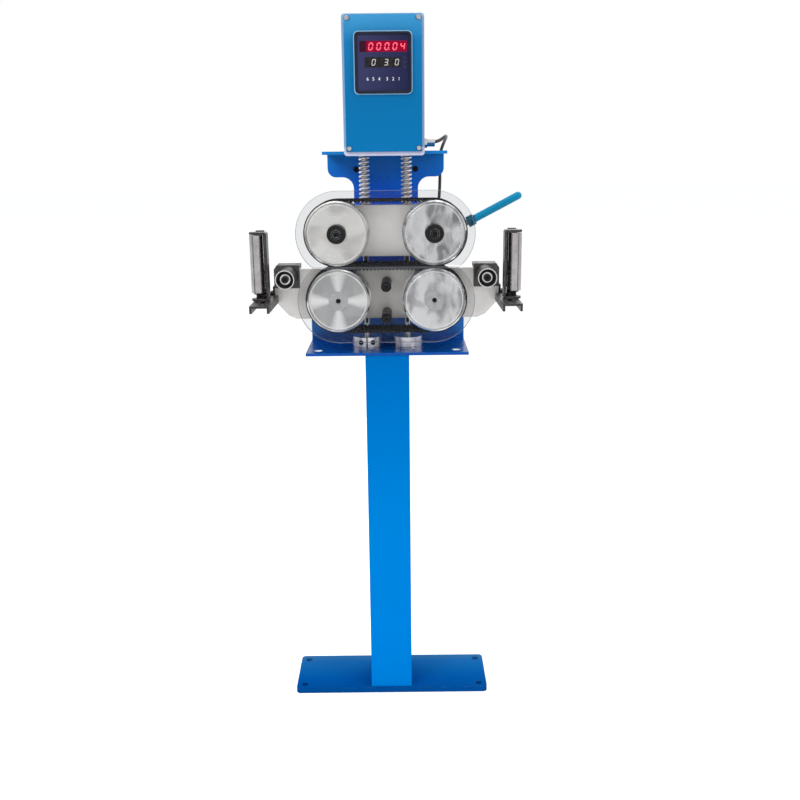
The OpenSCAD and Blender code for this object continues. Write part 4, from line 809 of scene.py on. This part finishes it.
def drawDot(bm, x, z, radius, front, depth, sides=14):
    turns = [2 * math.pi * k / sides for k in range(sides)]
    outline = [((x + radius * math.cos(turn)) * mm, (z + radius * math.sin(turn)) * mm)
               for turn in turns]
    prismXZ(bm, outline, front, depth)


def drawRow(name, digits, places, size, z, half, front, depth, material):
    # a row of digits, each dot at the foot of the digit before it
    bm = bmesh.new()
    index = -1
    for letter in digits:
        if letter == ".":
            drawDot(bm, places[index] + size[0] / 2 + half * 0.4, z - size[1] / 2 + half, half * 0.8,
                    front, depth)
            continue
        index += 1
        drawDigit(bm, letter, places[index], z, size, half, front, depth)
    obj = meshObject(name, bm)
    dress(obj, material)
    onFilm(obj)


def onFilm(obj):
    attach(obj, "frame")


def makeCounterFront():
    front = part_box("counter_panel")[0].y
    c = counterSetup
    windowFront = front - c["windowProud"] * mm
    digitFront = front - c["digitProud"] * mm
    for name, look in windowLooks.items():
        left, right, low, high = c[name]
        bm = bmesh.new()
        corners = roundedBox((right - left) * mm, (high - low) * mm, c["windowCorner"] * mm, 3)
        outline = [((left + right) / 2 * mm + x, (low + high) / 2 * mm + z) for x, z in corners]
        prismXZ(bm, outline, windowFront, c["windowProud"] * mm)
        obj = meshObject(name, bm)
        dress(obj, windowFinish(name, look))
        onFilm(obj)
    depth = (c["digitProud"] - c["windowProud"]) * mm
    for kind in ("lit", "set"):
        material = glowFinish(kind + "Digit", c[kind + "Tone"], c[kind + "Glow"])
        drawRow(kind + "Digits", c[kind + "Digits"], c[kind + "At"], c[kind + "Size"], c[kind + "Z"],
                c[kind + "HalfLine"], digitFront, depth, material)
    makeNumbers(front)
    bm = bmesh.new()
    for x, z in c["lampAt"]:
        drawDot(bm, x, z, c["lampSize"], windowFront, c["windowProud"] * mm)
    lenses = meshObject("panelLamps", bm)
    dress(lenses, glowFinish("lampLens", c["lampTone"], 0.0, 0.2))
    onFilm(lenses)


def makeNumbers(front):
    # upright numbers printed on the film
    c = counterSetup
    proud = c["numberProud"] * mm
    made = []
    for number, x in zip(c["numbers"], c["numberAt"]):
        curve = bpy.data.curves.new("number" + number, "FONT")
        curve.body = number
        curve.size = c["numberHigh"] * c["numberType"] * mm
        curve.align_x = "CENTER"
        curve.extrude = proud
        curve.offset = proud
        curve.resolution_u = 3
        obj = bpy.data.objects.new("number" + number, curve)
        bpy.context.scene.collection.objects.link(obj)
        foot = (x * mm, front - proud, (c["numberZ"] - c["numberHigh"] / 2) * mm)
        obj.matrix_world = Matrix.Translation(foot) @ Matrix.Rotation(math.radians(90), 4, "X")
        bpy.context.view_layer.update()
        mesh = bpy.data.meshes.new_from_object(obj.evaluated_get(bpy.context.evaluated_depsgraph_get()))
        mesh.transform(obj.matrix_world)
        bpy.data.objects.remove(obj)
        made.append(mesh)
    bm = bmesh.new()
    for mesh in made:
        bm.from_mesh(mesh)
        bpy.data.meshes.remove(mesh)
    numbers = meshObject("placeNumbers", bm)
    dress(numbers, glowFinish("numberPrint", c["numberTone"], 0.0, 0.5))
    onFilm(numbers)


makeCounterFront()
print("counter front made")


# a pale ring round the bezel: painted highlight on its edge
bezelHighlightSetup = {"width": 1.3, "high": 0.45, "gap": 0.15, "caseWide": 72, "caseTall": 74, "caseCorner": 5}
bezelHighlightLook = {"colour": (0.30, 0.55, 0.80), "second": (0.25, 0.50, 0.76), "speck": 600.0, "rough": 0.30,
            "strength": 0.04, "edge": 0.0003, "wearAndHighlight": 0.1, "wornAndHighlightTone": (0.6, 0.7, 0.8), "shine": 0.3}


def makeBezelHighlight():
    # thin pale line round the counter's bezel, a painted highlight
    t = bezelHighlightSetup
    low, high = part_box("counter_case")
    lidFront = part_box("box_lid")[0].y
    centre = ((low.x + high.x) / 2, counterSetup["centreZ"] * mm)
    wide = (t["caseWide"] + 2 * t["gap"]) * mm
    tall = (t["caseTall"] + 2 * t["gap"]) * mm
    band = 2 * t["width"] * mm
    bm = bmesh.new()
    outer = roundedBox(wide + band, tall + band, (t["caseCorner"] + t["width"]) * mm, 8)
    inner = roundedBox(wide, tall, t["caseCorner"] * mm, 8)
    frameXZ(bm, outer, inner, centre, lidFront - t["high"] * mm, t["high"] * mm)
    obj = meshObject("bezelHighlightRing", bm)
    smoothShade(obj, 40)
    dress(obj, plasticFinish("bezelHighlightFinish", bezelHighlightLook))
    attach(obj, "frame")


makeBezelHighlight()
print("trim made")


stageSetup = {"floorHalf": 30.0, "floorZ": -0.0003, "floorColour": (0.90, 0.90, 0.90), "lift": 0.46,
              "worldColour": (0.96, 0.98, 1.0), "worldLight": 0.62, "background": 1.0}
squareCorners = ((-1, -1), (1, -1), (1, 1), (-1, 1))
lamps = {
    "keyLamp": {"place": (-1.3, -1.5, 2.0), "aim": (0.0, 0.0, 0.6), "size": (1.2, 1.0), "power": 26.0},
    "fillLamp": {"place": (1.7, -1.3, 1.4), "aim": (0.0, 0.0, 0.6), "size": (1.0, 1.2), "power": 14.0},
    "topLamp": {"place": (0.1, 0.1, 2.5), "aim": (0.0, 0.0, 0.6), "size": (1.4, 1.0), "power": 16.0},
    "rearLamp": {"place": (0.4, 1.8, 1.6), "aim": (0.0, 0.0, 0.6), "size": (1.4, 1.0), "power": 12.0},
}
flags = {
    "leftFlag": {"place": (-1.15, -0.75, 0.75), "aim": (0.0, 0.0, 0.65), "size": (0.35, 1.5),
                 "tone": 0.05},
    "rightFlag": {"place": (1.15, -0.75, 0.75), "aim": (0.0, 0.0, 0.65), "size": (0.35, 1.5),
                  "tone": 0.05},
}


def seenShare(tree):
    # 1 for what the eye, gloss and clear sheets see
    path = tree.nodes.new("ShaderNodeLightPath")
    share = path.outputs["Is Camera Ray"]
    for ray in ("Is Glossy Ray", "Is Transmission Ray"):
        larger = tree.nodes.new("ShaderNodeMath")
        larger.operation = "MAXIMUM"
        tree.links.new(share, larger.inputs[0])
        tree.links.new(path.outputs[ray], larger.inputs[1])
        share = larger.outputs[0]
    return share


def makeWorld():
    world = bpy.data.worlds.new("studioWorld")
    bpy.context.scene.world = world
    world.use_nodes = True
    tree = world.node_tree
    tree.nodes.clear()
    light = tree.nodes.new("ShaderNodeBackground")
    light.inputs["Color"].default_value = (*stageSetup["worldColour"], 1.0)
    light.inputs["Strength"].default_value = stageSetup["worldLight"]
    seen = tree.nodes.new("ShaderNodeBackground")
    seen.inputs["Color"].default_value = (1.0, 1.0, 1.0, 1.0)
    seen.inputs["Strength"].default_value = stageSetup["background"]
    mix = tree.nodes.new("ShaderNodeMixShader")
    out = tree.nodes.new("ShaderNodeOutputWorld")
    tree.links.new(seenShare(tree), mix.inputs[0])
    tree.links.new(light.outputs[0], mix.inputs[1])
    tree.links.new(seen.outputs[0], mix.inputs[2])
    tree.links.new(mix.outputs[0], out.inputs["Surface"])


def makeFloor():
    half = stageSetup["floorHalf"]
    bm = bmesh.new()
    bm.faces.new([bm.verts.new((x * half, y * half, stageSetup["floorZ"])) for x, y in squareCorners])
    floor = meshObject("studioFloor", bm)
    material = bpy.data.materials.new("studioFloor")
    material.use_nodes = True
    tree = material.node_tree
    tree.nodes.clear()
    matte = tree.nodes.new("ShaderNodeBsdfDiffuse")
    matte.inputs["Color"].default_value = (*stageSetup["floorColour"], 1.0)
    glow = tree.nodes.new("ShaderNodeEmission")
    lift = tree.nodes.new("ShaderNodeMath")
    lift.operation = "MULTIPLY"
    lift.inputs[1].default_value = stageSetup["lift"]
    both = tree.nodes.new("ShaderNodeAddShader")
    out = tree.nodes.new("ShaderNodeOutputMaterial")
    tree.links.new(seenShare(tree), lift.inputs[0])
    tree.links.new(lift.outputs[0], glow.inputs["Strength"])
    tree.links.new(matte.outputs[0], both.inputs[0])
    tree.links.new(glow.outputs[0], both.inputs[1])
    tree.links.new(both.outputs[0], out.inputs["Surface"])
    dress(floor, material)


def facing(place, aim):
    return (Vector(aim) - Vector(place)).to_track_quat("-Z", "Y").to_matrix().to_4x4()


def makeLamp(name, setup):
    data = bpy.data.lights.new(name, "AREA")
    data.shape = "RECTANGLE"
    data.size, data.size_y = setup["size"]
    data.energy = setup["power"]
    lamp = bpy.data.objects.new(name, data)
    bpy.context.scene.collection.objects.link(lamp)
    lamp.matrix_world = Matrix.Translation(setup["place"]) @ facing(setup["place"], setup["aim"])


def makeFlag(name, setup):
    # a dark card that only shows in gloss
    wide, tall = setup["size"][0] / 2, setup["size"][1] / 2
    bm = bmesh.new()
    bm.faces.new([bm.verts.new((x * wide, y * tall, 0)) for x, y in squareCorners])
    card = meshObject(name, bm)
    material = bpy.data.materials.new(name)
    material.use_nodes = True
    shader = material.node_tree.nodes["Principled BSDF"]
    shader.inputs["Base Color"].default_value = (setup["tone"],) * 3 + (1.0,)
    shader.inputs["Roughness"].default_value = 1.0
    dress(card, material)
    card.matrix_world = Matrix.Translation(setup["place"]) @ facing(setup["place"], setup["aim"])
    card.visible_camera = False
    card.visible_diffuse = False
    card.visible_transmission = False
    card.visible_shadow = False


makeWorld()
makeFloor()
for name, setup in lamps.items():
    makeLamp(name, setup)
for name, setup in flags.items():
    makeFlag(name, setup)
print("floor and lamps set")
